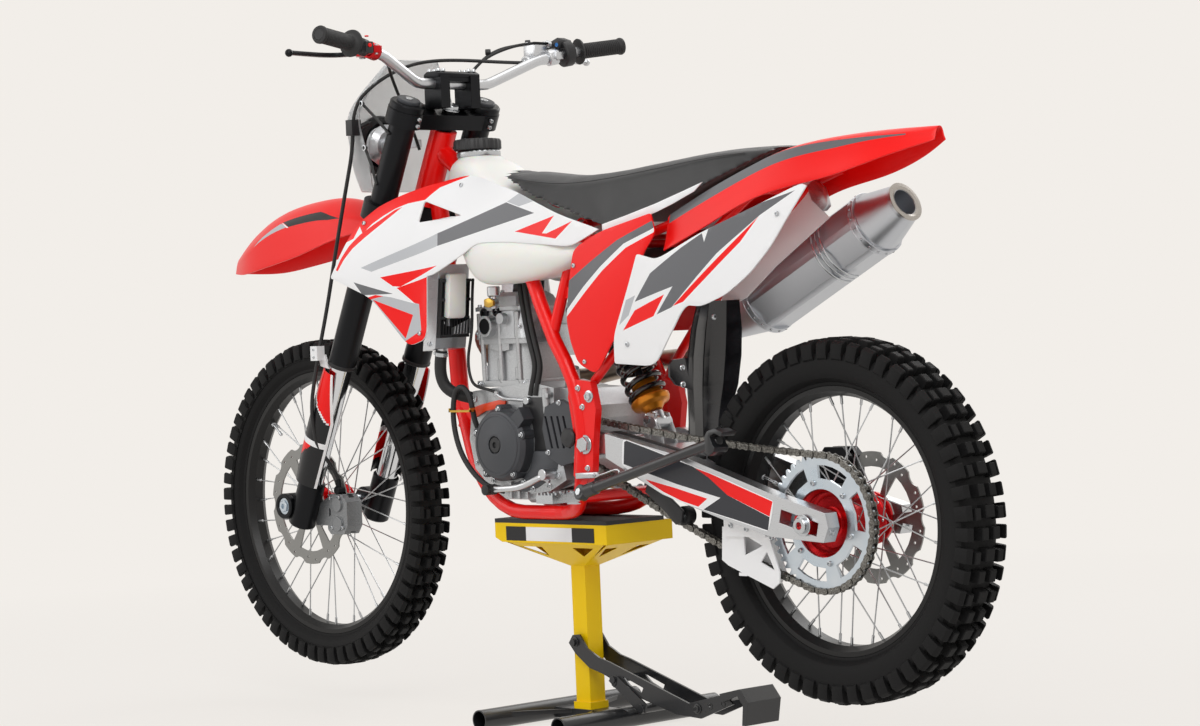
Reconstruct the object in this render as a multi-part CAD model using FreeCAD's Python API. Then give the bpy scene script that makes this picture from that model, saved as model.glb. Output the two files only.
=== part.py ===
import FreeCAD
import Part
import math
import os

# Off-road motorcycle held up on a paddock lift stand.
# +X is forward, +Y is the rider's left and +Z is up, in millimetres.
# Everything is laid out from the centre of the rear axle; export() then moves it so that
# the origin is on the floor, under the middle of the bike.

V = FreeCAD.Vector

# Wheels and their places
WHEELBASE = 1487.0
FRONT_AXLE_RISE = 12.7
FRONT_RADIUS = 348.0
REAR_RADIUS = 329.5
FLOOR_DROP = 410.0
BAR_HALF_WIDTH = 402.0

# Steering
RAKE = math.radians(25.66)
FORK_SPREAD = 100.0
FORK_OFFSET = 14.0
FORK_TOP = V(1058.0, 0.0, 829.5)
UPPER_TUBE_RADIUS = 27.0
LOWER_TUBE_RADIUS = 23.5

# Final drive: a 5/8 inch pitch chain
PITCH = 15.875
REAR_TEETH = 48
FRONT_TEETH = 13
CHAIN_Y = 68.0
DRIVE_CENTRE = V(632.0, 0.0, 162.0)
SWINGARM_PIVOT = V(553.0, 0.0, 143.0)
ARM_RISE = math.radians(14.5)

# Lift stand
STAND_REAR = 561.0
STAND_FRONT = 883.0
STAND_LEFT = 70.0
STAND_RIGHT = -106.0
STAND_TOP = -7.0
MAT_THICKNESS = 8.0
TRAY_DEPTH = 38.0
COLUMN = V(722.0, -20.0, 0.0)
COLUMN_SIZE = 40.0
COLUMN_FOOT = -384.0
CRADLE_RADIUS = 14.0
FEET_X = (590.0, 817.0)
FOOT_RADIUS = 20.0
FOOT_REACH = 210.0
FOOT_BORE = 17.5
FOOT_BORE_DEPTH = 60.0

# Side stand, folded up along the swingarm
PROP_PIVOT = V(547.0, 141.0, 53.0)
PROP_FOOT = V(170.0, 151.0, 152.0)
PROP_DOWN = V(0.1, 0.25, -0.96)
PROP_AXIS = (PROP_FOOT - PROP_PIVOT).cross(PROP_DOWN).normalize()

REAR_AXLE = V(0.0, 0.0, 0.0)
FRONT_AXLE = V(WHEELBASE, 0.0, FRONT_AXLE_RISE)
FORK_DOWN = V(math.sin(RAKE), 0.0, -math.cos(RAKE))
FORK_AHEAD = V(math.cos(RAKE), 0.0, math.sin(RAKE))
ORIGIN = V((WHEELBASE + FRONT_RADIUS - REAR_RADIUS) / 2, 0.0, -FLOOR_DROP)

# Tyre treads: rows of lugs round each tyre
LUG_ROWS = 27
LUG_DEPTH = 12.0

# Rear spring
SPRING_COILS = 8
SPRING_PITCH = 22.0

# Radiator cores
FIN_COUNT = 12

# Plastic panels
PANEL_WALL = 4.0
FLAP_RIDGE = 5.0
MASK_WALL = 3.0

PARTS = "parts"
BEND_STEP = math.radians(16)


def export(name, shape):
    """Write one piece, moved to the floor origin."""
    placed = shape.copy()
    placed.translate(ORIGIN * -1)
    placed.exportStep(os.path.join(PARTS, name + ".step"))


def unit(vector):
    """A copy of the vector, one long."""
    return V(vector).normalize()


def mirrored(shape):
    """The same piece on the other side of the bike."""
    return shape.mirror(V(0, 0, 0), V(0, 1, 0))


def both(shape):
    """A left piece and its mirror image, as solids of one node."""
    return Part.makeCompound([shape, mirrored(shape)])


def block(x0, x1, y0, y1, z0, z1):
    """A box between two corners."""
    return Part.makeBox(x1 - x0, y1 - y0, z1 - z0, V(x0, y0, z0))


def rod(start, end, radius):
    """A straight round bar."""
    return Part.makeCylinder(radius, (end - start).Length, start, end - start)


def across(x, z, y0, y1, radius):
    """A round bar along Y."""
    return Part.makeCylinder(radius, y1 - y0, V(x, y0, z), V(0, 1, 0))


def plate(points, y0, y1):
    """A side-view outline of (x, z) points, as thick as y0 to y1."""
    corners = [V(x, y0, z) for x, z in points]
    face = Part.Face(Part.makePolygon(corners + corners[:1]))
    return face.extrude(V(0, y1 - y0, 0))


def turned(profile, centre):
    """A ring about a wheel's axle, from (radius, y) points."""
    corners = [V(centre.x + r, y, centre.z) for r, y in profile]
    face = Part.Face(Part.makePolygon(corners + corners[:1]))
    return face.revolve(centre, V(0, 1, 0), 360)


def bends(points, bend=None):
    """Where each corner's tangent arc starts, its middle, its end and its centre."""
    found = []
    for before, corner, after in zip(points, points[1:], points[2:]):
        back = unit(before - corner)
        ahead = unit(after - corner)
        half_turn = (math.pi - back.getAngle(ahead)) / 2
        reach = 0.45 * min((before - corner).Length, (after - corner).Length)
        if bend:
            reach = min(reach, bend * math.tan(half_turn))
        radius = reach / math.tan(half_turn)
        centre = corner + unit(back + ahead) * (radius / math.cos(half_turn))
        middle = centre - unit(back + ahead) * radius
        found.append((corner + back * reach, middle, corner + ahead * reach, centre, half_turn))
    return found


def tube(points, radius, bend=None):
    """A bent bar or tube: each bend is a few short mitred pieces."""
    route = [points[0]]
    for entry, middle, leave, centre, half_turn in bends(points, bend):
        pieces = max(1, math.ceil(2 * half_turn / BEND_STEP))
        for k in range(pieces + 1):
            share = k / pieces
            first = math.sin((1 - share) * 2 * half_turn) / math.sin(2 * half_turn)
            last = math.sin(share * 2 * half_turn) / math.sin(2 * half_turn)
            route.append(centre + (entry - centre) * first + (leave - centre) * last)
    route.append(points[-1])
    ring = Part.Wire(Part.makeCircle(radius, points[0], points[1] - points[0]))
    return Part.makePolygon(route).makePipeShell([ring], True, False, 1)


def hose(points, radius):
    """A hose or cable: straight runs joined by tangent arcs."""
    edges = []
    start = points[0]
    for entry, middle, leave, centre, half_turn in bends(points):
        edges.append(Part.LineSegment(start, entry).toShape())
        edges.append(Part.Arc(entry, middle, leave).toShape())
        start = leave
    edges.append(Part.LineSegment(start, points[-1]).toShape())
    disk = Part.Face(Part.Wire(Part.makeCircle(radius, points[0], points[1] - points[0])))
    return Part.Wire(edges).makePipe(disk)


def fused(*shapes):
    """One solid of several that overlap."""
    return shapes[0].multiFuse(list(shapes[1:])).removeSplitter()


def largest(shape):
    """The biggest solid of a piece that a neighbour has cut through."""
    return max(shape.Solids, key=lambda solid: solid.Volume)


def lofted(sections, ruled=True):
    """A solid through closed outlines of points."""
    wires = [Part.makePolygon(list(s) + [s[0]]) for s in sections]
    return Part.makeLoft(wires, True, ruled)


def skin(rows, thickness):
    """A curved wall: a smooth surface through rows of points, thickened towards the middle."""
    surface = Part.BSplineSurface()
    surface.interpolate([[V(*point) for point in row] for row in rows])
    return surface.toShape().extrude(V(0, -thickness, 0))


def shelf(points, z0, z1):
    """A plan-view outline of (x, y) points, between two heights."""
    corners = [V(x, y, z0) for x, y in points]
    face = Part.Face(Part.makePolygon(corners + corners[:1]))
    return face.extrude(V(0, 0, z1 - z0))


def tilted(x, z, length, height, rise):
    """Corners of a side-view rectangle turned up by an angle."""
    corners = []
    for a, b in ((0.5, 0.5), (-0.5, 0.5), (-0.5, -0.5), (0.5, -0.5)):
        along, up = a * length, b * height
        corners.append((x + along * math.cos(rise) - up * math.sin(rise),
                        z + along * math.sin(rise) + up * math.cos(rise)))
    return corners


def at_angle(profile, centre, angle):
    """A wheel's (radius, y) profile turned to an angle round its axle."""
    return [V(centre.x + r * math.cos(angle), y, centre.z + r * math.sin(angle))
            for r, y in profile]


def sector(centre, low, high, start, end, y0, y1):
    """A window between two radii and two angles, its sides straight."""
    outline = []
    for reach, angles in ((low, (start, (start + end) / 2, end)),
                          (high, (end, (start + 3 * end) / 4, (start + end) / 2,
                                  (3 * start + end) / 4, start))):
        for angle in angles:
            outline.append((centre.x + reach * math.cos(angle),
                            centre.z + reach * math.sin(angle)))
    return plate(outline, y0, y1)


def on_fork(down, side, ahead=0.0):
    """A point beside the fork's axis, so far below its top."""
    return FORK_TOP + FORK_DOWN * down + FORK_AHEAD * ahead + V(0, side, 0)


def on_stem(down, ahead=0.0, side=0.0):
    """A point on the steering axis, measured like the fork's."""
    return on_fork(down, side, ahead - FORK_OFFSET)


# Wheels

def rim(centre, bead_radius, half_width):
    """An alloy rim: two flanges and a dropped well."""
    well = bead_radius - 18
    profile = [
        (bead_radius, -half_width - 2.5), (bead_radius, -half_width),
        (bead_radius - 10, -half_width), (bead_radius - 10, half_width),
        (bead_radius, half_width), (bead_radius, half_width + 2.5),
        (bead_radius - 9, half_width + 2.5), (well, half_width * 0.5),
        (well, -half_width * 0.5), (bead_radius - 9, -half_width - 2.5),
    ]
    return turned(profile, centre)


def tyre(centre, bead_radius, rim_half, radius, half_width):
    """A knobbly tyre: a carcass with rows of crown and shoulder lugs."""
    base = radius - LUG_DEPTH
    shoulder = half_width * 0.55
    pitch = 2 * math.pi / LUG_ROWS
    chord = 1 / math.cos(pitch / 2)
    inner, bead = (bead_radius - 9.6) * chord, (bead_radius + 0.4) * chord
    half = [(inner, rim_half - 0.4), (bead, rim_half - 0.4), (bead, rim_half + 3),
            (bead_radius + 26, half_width - 8), (base - 14, half_width - 5), (base, shoulder)]
    profile = half + [(r, -y) for r, y in reversed(half)]
    carcass = Part.makeLoft([Part.makePolygon(ring + ring[:1]) for ring in (
        at_angle(profile, centre, k * pitch) for k in range(LUG_ROWS))], True, True, True)
    crown = [(base - 6, -0.8 * shoulder), (base - 6, 0.8 * shoulder),
             (radius, 0.75 * shoulder), (radius, -0.75 * shoulder)]
    outer = [(base - 19, half_width - 8), (radius - 9, half_width),
             (radius - 1, shoulder + 3), (base - 5, shoulder + 3)]
    opposite = [(r, -y) for r, y in reversed(outer)]
    lugs = []
    for k in range(LUG_ROWS):
        for lug, start, end in ((crown, 0.0, 0.42), (outer, 0.48, 0.92),
                                (opposite, 0.48, 0.92)):
            lugs.append(lofted([at_angle(lug, centre, (k + start) * pitch),
                                at_angle(lug, centre, (k + end) * pitch)]))
    return carcass.fuse(lugs)


def spoke(start, end, width):
    """A thin square bar between two points."""
    along = unit(end - start)
    side = unit(along.cross(V(0, 1, 0)))
    up = along.cross(side)
    half = width / 2
    corners = [start + side * (a * half) + up * (b * half)
               for a, b in ((1, 1), (-1, 1), (-1, -1), (1, -1))]
    return Part.Face(Part.makePolygon(corners + corners[:1])).extrude(end - start)


def spokes(centre, hub_radius, left, right, rim_radius, count=36, width=3.4):
    """Laced spokes: each flange's lean one way and the other in turn."""
    made = []
    for k in range(count):
        side, flange = (1, left) if k % 2 else (-1, right)
        lean = 1 if k % 4 < 2 else -1
        rim_angle = 2 * math.pi * k / count
        hub_angle = rim_angle + lean * math.radians(62)
        start = centre + V(hub_radius * math.cos(hub_angle), flange + 1.6 * lean,
                           hub_radius * math.sin(hub_angle))
        end = centre + V(rim_radius * math.cos(rim_angle), side * 6,
                         rim_radius * math.sin(rim_angle))
        made.append(spoke(start, end, width))
    return made


def front_hub():
    """Slim front hub with the disc's flange on the left, and its spokes."""
    barrel = turned([(12.3, -40), (24, -40), (24, -36), (37, -34), (37, -28), (21, -20),
                     (21, 20), (37, 28), (37, 34), (24, 38), (28, 54), (46, 56), (46, 60.2),
                     (12.3, 60.2)], FRONT_AXLE)
    return fused(barrel, *spokes(FRONT_AXLE, 33, 31, -31, 263))


def rear_hub():
    """Wide rear hub with a dished sprocket carrier, a disc flange and its spokes."""
    barrel = turned([(10.3, -64), (26, -64), (26, -66.2), (48, -66.2), (48, -60), (34, -57),
                     (34, -47), (53, -44), (53, -38), (31, -28), (31, 22), (53, 30), (53, 36),
                     (42, 40), (58, 55), (79, 58), (79, 65), (59, 65), (51, 48), (24, 46),
                     (24, 58), (10.3, 58)], REAR_AXLE)
    gaps = [sector(REAR_AXLE, 64, 90, k * math.pi / 3 - 0.3, k * math.pi / 3 + 0.3, 50, 70)
            for k in range(6)]
    return fused(barrel.cut(gaps), *spokes(REAR_AXLE, 48, 33, -41, 225))


def disc(centre, y, radius, bore, waves, arms=6, thickness=3.5):
    """A wave-edged brake disc: drilled ring, open windows and the arms between them."""
    y0, y1 = y - thickness / 2, y + thickness / 2
    cuts = [across(centre.x, centre.z, y0 - 1, y1 + 1, bore)]
    scallop = radius * 0.2
    for k in range(waves):
        angle = 2 * math.pi * k / waves
        reach = radius + scallop * 0.7
        cuts.append(across(centre.x + reach * math.cos(angle),
                           centre.z + reach * math.sin(angle), y0 - 1, y1 + 1, scallop))
        for turn, depth in ((0.32, 9), (0.68, 15)):
            hole = angle + turn * 2 * math.pi / waves
            spot = V(centre.x + (radius - depth) * math.cos(hole), 0,
                     centre.z + (radius - depth) * math.sin(hole))
            cuts.append(plate([(spot.x + 3 * math.cos(a * math.pi / 3),
                                spot.z + 3 * math.sin(a * math.pi / 3)) for a in range(6)],
                              y0 - 1, y1 + 1))
    for k in range(arms):
        start = 2 * math.pi * k / arms + 0.13
        cuts.append(sector(centre, bore + 14, radius - 27, start,
                           start + 2 * math.pi / arms - 0.26, y0 - 1, y1 + 1))
    return across(centre.x, centre.z, y0, y1, radius).cut(cuts)


# Chain drive

def pitch_radius(teeth):
    """Radius of the circle through a sprocket's rollers."""
    return PITCH / (2 * math.sin(math.pi / teeth))


def sprocket(centre, teeth, y, thickness):
    """A toothed wheel; each tooth has a tip, two flanks and a root flat below the roller."""
    radius = pitch_radius(teeth)
    step = 2 * math.pi / teeth
    outline = []
    for k in range(teeth):
        for share, reach in ((-0.34, -5.6), (-0.12, -5.6), (0.34, 3.0), (0.54, 3.0)):
            angle = (k + share + 0.11) * step
            outline.append((centre.x + (radius + reach) * math.cos(angle),
                            centre.z + (radius + reach) * math.sin(angle)))
    return plate(outline, y - thickness / 2, y + thickness / 2)


def rear_sprocket():
    """Rear sprocket with six windows between its bolted arms."""
    cuts = [across(0, 0, 50, 90, 61)]
    for k in range(6):
        middle = (k + 0.5) * math.pi / 3 + 0.3
        cuts.append(sector(REAR_AXLE, 80, 104, middle - 0.36, middle + 0.36, 50, 90))
        bolt = k * math.pi / 3 + 0.3
        cuts.append(across(73 * math.cos(bolt), 73 * math.sin(bolt), 50, 90, 4.2))
    return sprocket(REAR_AXLE, REAR_TEETH, CHAIN_Y, 5.8).cut(cuts)


def chain_route(offset, steps):
    """Points round both sprockets, so far outside the pitch line."""
    rear = pitch_radius(REAR_TEETH) + offset
    front = pitch_radius(FRONT_TEETH) + offset
    span = math.hypot(DRIVE_CENTRE.x, DRIVE_CENTRE.z)
    slope = math.atan2(DRIVE_CENTRE.z, DRIVE_CENTRE.x)
    flare = math.asin((pitch_radius(REAR_TEETH) - pitch_radius(FRONT_TEETH)) / span)
    top = slope + math.pi / 2 - flare
    bottom = slope - math.pi / 2 + flare
    points = []
    for k in range(steps + 1):
        angle = top + (bottom + 2 * math.pi - top) * k / steps
        points.append(V(rear * math.cos(angle), 0, rear * math.sin(angle)))
    start = points[-1]
    finish = DRIVE_CENTRE + V(front * math.cos(bottom), 0, front * math.sin(bottom))
    for k in range(1, 6):
        t = k / 6
        points.append(start + (finish - start) * t - V(0, 0, 4 * 18 * t * (1 - t)))
    for k in range(9):
        angle = bottom + (top - bottom) * k / 8
        points.append(DRIVE_CENTRE + V(front * math.cos(angle), 0, front * math.sin(angle)))
    start = points[-1]
    finish = points[0]
    for k in range(1, 6):
        t = k / 6
        points.append(start + (finish - start) * t - V(0, 0, 4 * 8 * t * (1 - t)))
    return points


def chain():
    """The chain as one fixed loop: two rows of plates with the rollers' gap between."""
    outer = chain_route(6.0, 24)
    inner = chain_route(-4.2, 24)
    rows = []
    for y0, y1 in ((CHAIN_Y - 8.0, CHAIN_Y - 3.9), (CHAIN_Y + 3.9, CHAIN_Y + 8.0)):
        rows.append(plate([(p.x, p.z) for p in outer], y0, y1).cut(
            plate([(p.x, p.z) for p in inner], y0 - 1, y1 + 1)))
    return Part.makeCompound(rows)


# Frame

def main_frame():
    """Head tube, single downtube, split cradle, pivot plates and upper spars."""
    head = rod(on_stem(50), on_stem(212), 27)
    downtube = tube([on_stem(168, -22), V(1062, 0, 400), V(1052, 0, 230), V(1032, 0, 180)], 18)
    backbone = tube([on_stem(96, -20), V(940, 0, 640), V(740, 0, 590), V(660, 0, 520)], 19)
    pieces = [head, downtube, backbone]
    spar = tube([V(1040, 20, 655), V(900, 78, 590), V(760, 92, 545), V(706, 100, 468),
                 V(664, 110, 378), V(580, 116, 262), V(562, 116, 160), V(575, 114, 70),
                 V(622, 82, 18), V(672, 64, STAND_TOP + CRADLE_RADIUS),
                 V(833, 64, STAND_TOP + CRADLE_RADIUS), V(895, 58, 34), V(965, 40, 90),
                 V(1040, 6, 205)], CRADLE_RADIUS)
    branch = tube([V(646, 108, 352), V(626, 104, 410), V(606, 98, 474), V(575, 84, 560),
                   V(600, 0, 575)], 11)
    plate_left = plate([(532, 262), (590, 268), (596, 232), (582, 150), (590, 84), (562, 60),
                        (536, 92), (530, 150), (520, 210)], 106, 122)
    for piece in (spar, branch, plate_left):
        pieces += [piece, mirrored(piece)]
    for x, z in ((608, 432), (600, 40), (700, 500)):
        pieces.append(across(x, z, -104, 104, 11))
    bracket = plate([(960, 216), (956, 174), (1034, 172), (1050, 236)], 10, 15)
    pieces += [bracket, mirrored(bracket)]
    frame = fused(*pieces)
    return frame.cut([across(SWINGARM_PIVOT.x, SWINGARM_PIVOT.z, -140, 140, 12.5),
                      rod(on_stem(40), on_stem(222), 17)])


def subframe():
    """Upper and lower rails that carry the seat."""
    left = tube([V(545, 98, 262), V(443, 104, 345), V(330, 98, 440), V(180, 84, 560),
                 V(110, 76, 606)], 9)
    right = tube([V(545, -98, 262), V(470, -66, 320), V(330, -54, 440), V(180, -56, 560),
                  V(110, -66, 606)], 9)
    upper = tube([V(640, 74, 545), V(480, 84, 520), V(300, 84, 552), V(150, 76, 604),
                  V(40, 68, 632)], 9)
    pieces = [left, right, upper, mirrored(upper)]
    pieces.append(across(150, 600, -78, 78, 8))
    pieces.append(across(480, 518, -86, 86, 8))
    return fused(*pieces)


def swingarm():
    """Two box arms with axle slots, a bridge ahead of the tyre and the pivot tube."""
    arm = plate([(536, 160), (512, 164), (286, 117), (70, 52), (-50, 22), (-56, -4),
                 (-44, -30), (84, -22), (200, 6), (355, 50), (520, 124), (560, 128)], 86, 116)
    arm = arm.cut([plate(tilted(14, 4, 92, 24.4, ARM_RISE), 80, 120),
                   block(505, 600, 101, 140, 80, 200)])
    boss = across(SWINGARM_PIVOT.x, SWINGARM_PIVOT.z, 84, 101, 18)
    bridge = plate([(440, 138), (396, 128), (396, 82), (440, 78)], -88, 88)
    tongue = block(438, 446, -18, 18, 92, 128)
    pivot = across(SWINGARM_PIVOT.x, SWINGARM_PIVOT.z, -124, 124, 12.4)
    return fused(arm, mirrored(arm), boss, mirrored(boss), bridge, tongue, pivot)


def rear_axle():
    """Axle shaft, its adjuster blocks in the arms' slots, and the nut."""
    shaft = across(0, 0, -121, 121, 10)
    slider = plate(tilted(2, 0.6, 40, 23.6, ARM_RISE), 86.5, 120)
    nut = across(0, 0, 120, 128, 14).cut(across(0, 0, 110, 130, 6))
    return fused(shaft.cut(across(0, 0, 90, 130, 6)), slider.cut(across(0, 0, 80, 130, 6)),
                 mirrored(slider), nut)


def chain_guide():
    """Guide plates either side of the lower run, with triangular windows in the outer one."""
    outline = [(234, -9), (238, -70), (222, -80), (112, -119), (96, -108), (94, -89), (118, -23)]
    outer = plate(outline, 83, 86).cut([plate(window, 80, 90) for window in (
        [(181, -22), (179, -60), (134, -42)], [(124, -52), (106, -86), (140, -72)])])
    inner = plate([(226, -20), (228, -72), (118, -112), (104, -92), (128, -30)], 56, 58.5)
    lug = block(120, 224, 84, 92, -26, 12)
    web = block(176, 196, 56, 86, -98, -92)
    return fused(outer, inner, web, lug)


def shock():
    """Damper with its coil spring, and the rising-rate link below it."""
    top = V(604, 0, 420)
    low = V(474, 0, 176)
    along = unit(low - top)
    body = rod(top, low, 16)
    coils = [(0, 38), (22, 38)]
    for k in range(SPRING_COILS):
        start = 44 + k * SPRING_PITCH
        coils += [(30, start), (40, start + 4), (40, start + 11), (30, start + 15)]
    coils += [(22, 222), (34, 222), (34, 238), (0, 238)]
    side = unit(along.cross(V(0, 1, 0)))
    corners = [top + along * down + side * reach for reach, down in coils]
    spring = Part.Face(Part.makePolygon(corners + corners[:1])).revolve(top, along, 360)
    reservoir = rod(V(640, 52, 408), V(590, 52, 330), 22)
    bridge = block(590, 630, 0, 50, 396, 412)
    link = plate([(498, 186), (470, 196), (446, 130), (456, 60), (480, 58), (486, 120)], -22, 22)
    return fused(body, spring, reservoir, bridge, link)


# Engine

def engine_cases():
    """Crankcase and gearbox castings, with their mounting lugs and ribs."""
    crank = plate([(690, 250), (700, 66), (752, 32), (842, 32), (893, 58), (932, 92),
                   (946, 150), (930, 246), (760, 262)], -72, 72)
    gearbox = plate([(592, 214), (588, 190), (596, 112), (636, 66), (702, 52), (702, 250),
                     (640, 246)], -72, 54)
    shift_cover = plate([(662, 112), (652, 72), (700, 50), (752, 44), (790, 60), (760, 88)],
                        60, 84)
    ribs = [plate([(x, 34), (x + 5, 34), (x + 5, 67), (x, 67)], 66, 80)
            for x in (770, 794, 818)]
    sump = plate([(700, 50), (716, 24), (800, 24), (826, 40)], -44, 44)
    filler = rod(V(690, 20, 240), V(678, 34, 286), 15)
    lug = plate([(600, 168), (566, 160), (535, 158), (531, 140), (540, 126), (600, 118)], 30, 52)
    lug = lug.cut(across(SWINGARM_PIVOT.x, SWINGARM_PIVOT.z, 20, 60, 12.7))
    front = plate([(925, 215), (925, 150), (978, 172), (984, 190), (976, 206)], -9.7, 9.7)
    return fused(crank, gearbox, shift_cover, sump, filler, lug, mirrored(lug), front, *ribs)


def cylinder():
    """Liquid-cooled barrel, head and cam cover, leaning slightly forward."""
    def level(z, x0, x1, half, cut):
        return [V(x0 + cut, -half, z), V(x1 - cut, -half, z), V(x1, cut - half, z),
                V(x1, half - cut, z), V(x1 - cut, half, z), V(x0 + cut, half, z),
                V(x0, half - cut, z), V(x0, cut - half, z)]
    base = lofted([level(254, 756, 936, 66, 14), level(266, 757, 935, 66, 14)])
    barrel = lofted([level(266, 774, 920, 58, 20), level(338, 780, 916, 56, 20)])
    gasket = lofted([level(338, 768, 930, 64, 16), level(348, 769, 930, 64, 16)])
    head = lofted([level(348, 774, 930, 66, 12), level(404, 786, 922, 62, 12)])
    rim = lofted([level(404, 780, 928, 66, 10), level(412, 781, 928, 66, 10)])
    cover = lofted([level(412, 790, 918, 58, 14), level(432, 800, 908, 50, 14),
                    level(440, 812, 896, 38, 10)])
    plug = across(876, 374, 60, 82, 21).cut(across(876, 374, 78, 90, 16))
    small = across(836, 388, 60, 76, 11)
    ribs = [rod(V(x, 62, 262), V(x + 4, 62, 400), 5) for x in (796, 850, 902)]
    intake = rod(V(790, 0, 370), V(748, 0, 366), 24)
    exhaust = rod(V(912, 0, 381), V(950, 0, 368), 24)
    return fused(base, barrel, gasket, head, rim, cover, plug, small, intake, exhaust, *ribs)


def ignition_cover():
    """Round generator cover on the left, with its plug and screw bosses."""
    centre = V(826, 0, 141)
    dome = turned([(0, 72.2), (72, 72.2), (72, 94), (66, 104), (58, 107), (22, 112), (18, 112),
                   (18, 108), (0, 108)], centre)
    bosses = []
    for k in range(5):
        angle = math.radians(20 + 72 * k)
        bosses.append(across(centre.x + 70 * math.cos(angle), centre.z + 70 * math.sin(angle),
                             72.2, 100, 9))
    lead = plate([(786, 196), (762, 214), (748, 190), (770, 170)], 72.2, 102)
    return fused(dome, lead, *bosses)


def sprocket_cover():
    """Guard over the drive sprocket, with slanted slots and a round damper."""
    outline = [(600, 188), (612, 214), (650, 228), (692, 214), (702, 172), (690, 118),
               (652, 100), (612, 108), (594, 148)]
    cover = plate(outline, 84, 96)
    slots = []
    for k in range(4):
        x = 622 + 17 * k
        slots.append(plate([(x, 134), (x + 6, 134), (x + 22, 196), (x + 16, 196)], 80, 100))
    wall = plate([(694, 200), (703, 200), (703, 130), (694, 130)], 72.2, 84)
    return fused(cover.cut(slots), wall)


def clutch_cover():
    """Clutch and water pump cover on the right."""
    clutch = turned([(0, -72.2), (82, -72.2), (82, -92), (70, -104), (0, -104)], V(742, 0, 152))
    pump = turned([(0, -72.2), (34, -72.2), (34, -110), (24, -116), (0, -116)], V(878, 0, 118))
    return fused(clutch, pump)


def drive_sprocket():
    """Countershaft sprocket on its shaft."""
    wheel = sprocket(DRIVE_CENTRE, FRONT_TEETH, CHAIN_Y, 5.8)
    shaft = across(DRIVE_CENTRE.x, DRIVE_CENTRE.z, 54.2, CHAIN_Y + 8, 13)
    return fused(wheel, shaft)


def carburettor():
    """Carburettor body between the head and the air box."""
    bore = rod(V(748, 0, 366), V(652, 0, 357), 27)
    bowl = block(672, 722, -30, 30, 312, 372)
    top = across(697, 392, -24, 24, 22)
    return fused(bore, bowl, top)


def airbox():
    """Plastic air box under the seat."""
    return plate([(505, 400), (480, 392), (372, 410), (348, 470), (400, 508), (550, 508),
                  (540, 470)], -40, 46)


# Cooling

def radiators():
    """A finned core with end tanks on each side of the tank's nose."""
    core = plate([(950, 470), (974, 467), (986, 353), (962, 355)], 62, 138)
    top = plate([(938, 500), (976, 494), (980, 466), (942, 470)], 60, 140)
    low = plate([(956, 356), (994, 352), (998, 330), (960, 334)], 60, 140)
    fins = []
    for k in range(FIN_COUNT):
        y = 62 + k * 76 / (FIN_COUNT - 1)
        fins.append(plate([(943, 471), (979, 467), (992, 352), (957, 355)], y - 1, y + 1))
    return both(fused(core, top, low, *fins))


def coolant_hoses():
    """Lower hose from each radiator to the engine."""
    left = hose([V(980, 106, 329), V(992, 104, 280), V(978, 84, 246), V(930, 50, 226)], 12)
    right = hose([V(980, -120, 329), V(988, -124, 270), V(958, -110, 190), V(922, -98, 150)], 12)
    return Part.makeCompound([left, right])


# Exhaust

def exhaust_pipe():
    """Header pipe round the right of the engine to the silencer."""
    return tube([V(950.5, 0, 368), V(1000, -18, 352), V(1006, -62, 300), V(950, -112, 262),
                 V(820, -138, 262), V(660, -152, 290), V(560, -152, 296), V(470, -132, 314),
                 MUFFLER_FRONT], 19, 60)


MUFFLER_FRONT = V(392, -128, 352)
MUFFLER_REAR = V(-52, -128, 566)


def muffler():
    """Six-sided silencer can with an inlet cone and a tapered outlet."""
    along = unit(MUFFLER_REAR - MUFFLER_FRONT)
    up = along.cross(V(0, 1, 0))
    length = (MUFFLER_REAR - MUFFLER_FRONT).Length
    start = MUFFLER_FRONT + along * 97
    corners = [start + V(0, 1, 0) * (64 * math.cos(k * math.pi / 3))
               + up * (64 * math.sin(k * math.pi / 3)) for k in range(6)]
    prism = Part.Face(Part.makePolygon(corners + corners[:1])).extrude(along * (length - 169))
    can = prism.common(rod(start, MUFFLER_FRONT + along * (length - 72), 60.5))
    inlet = Part.makeCone(24, 55, 97, MUFFLER_FRONT + along * 1, along)
    bands = [rod(MUFFLER_FRONT + along * down, MUFFLER_FRONT + along * (down + 14), 61)
             for down in (96, length - 90)]
    outlet = Part.makeCone(57, 36, 72, MUFFLER_FRONT + along * (length - 72), along)
    lip = rod(MUFFLER_FRONT + along * (length - 6), MUFFLER_FRONT + along * length, 38)
    bore = rod(MUFFLER_FRONT + along * (length - 60), MUFFLER_FRONT + along * (length + 5), 25)
    return fused(inlet, can, outlet, lip, *bands).cut(bore)


def past_exhaust(panel):
    """A panel on both sides, the right one cut away round the hot exhaust."""
    along = unit(MUFFLER_REAR - MUFFLER_FRONT)
    room = [rod(MUFFLER_FRONT - along * 90, MUFFLER_REAR + along * 90, 70),
            block(430, 720, -190, -100, 260, 350)]
    right = largest(mirrored(panel).cut(room))
    return Part.makeCompound([panel, right])


# Tank, seat and bodywork

def tank_lobe():
    """Left lobe of the tank, bulging out below the shroud."""
    sections = []
    for x, inside, out, low, high in (
            (536, 62, 124, 498, 518), (575, 58, 136, 482, 526), (619, 54, 144, 470, 536),
            (660, 52, 148, 462, 544), (700, 50, 150, 457, 550), (745, 50, 151, 454, 556),
            (790, 50, 151, 453, 562), (830, 50, 148, 460, 570), (860, 50, 140, 480, 578),
            (884, 50, 128, 506, 584), (930, 40, 92, 548, 600)):
        middle, half = (low + high) / 2, (high - low) / 2
        corners = [V(x, inside, low + 4), V(x, inside, high)]
        for k in range(9):
            turn = math.radians(90 - 22.5 * k)
            bulge = abs(math.cos(turn)) ** 0.7
            corners.append(V(x, out - 34 + 34 * bulge, middle + half * math.sin(turn)))
        sections.append(corners)
    return lofted(sections)


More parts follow.
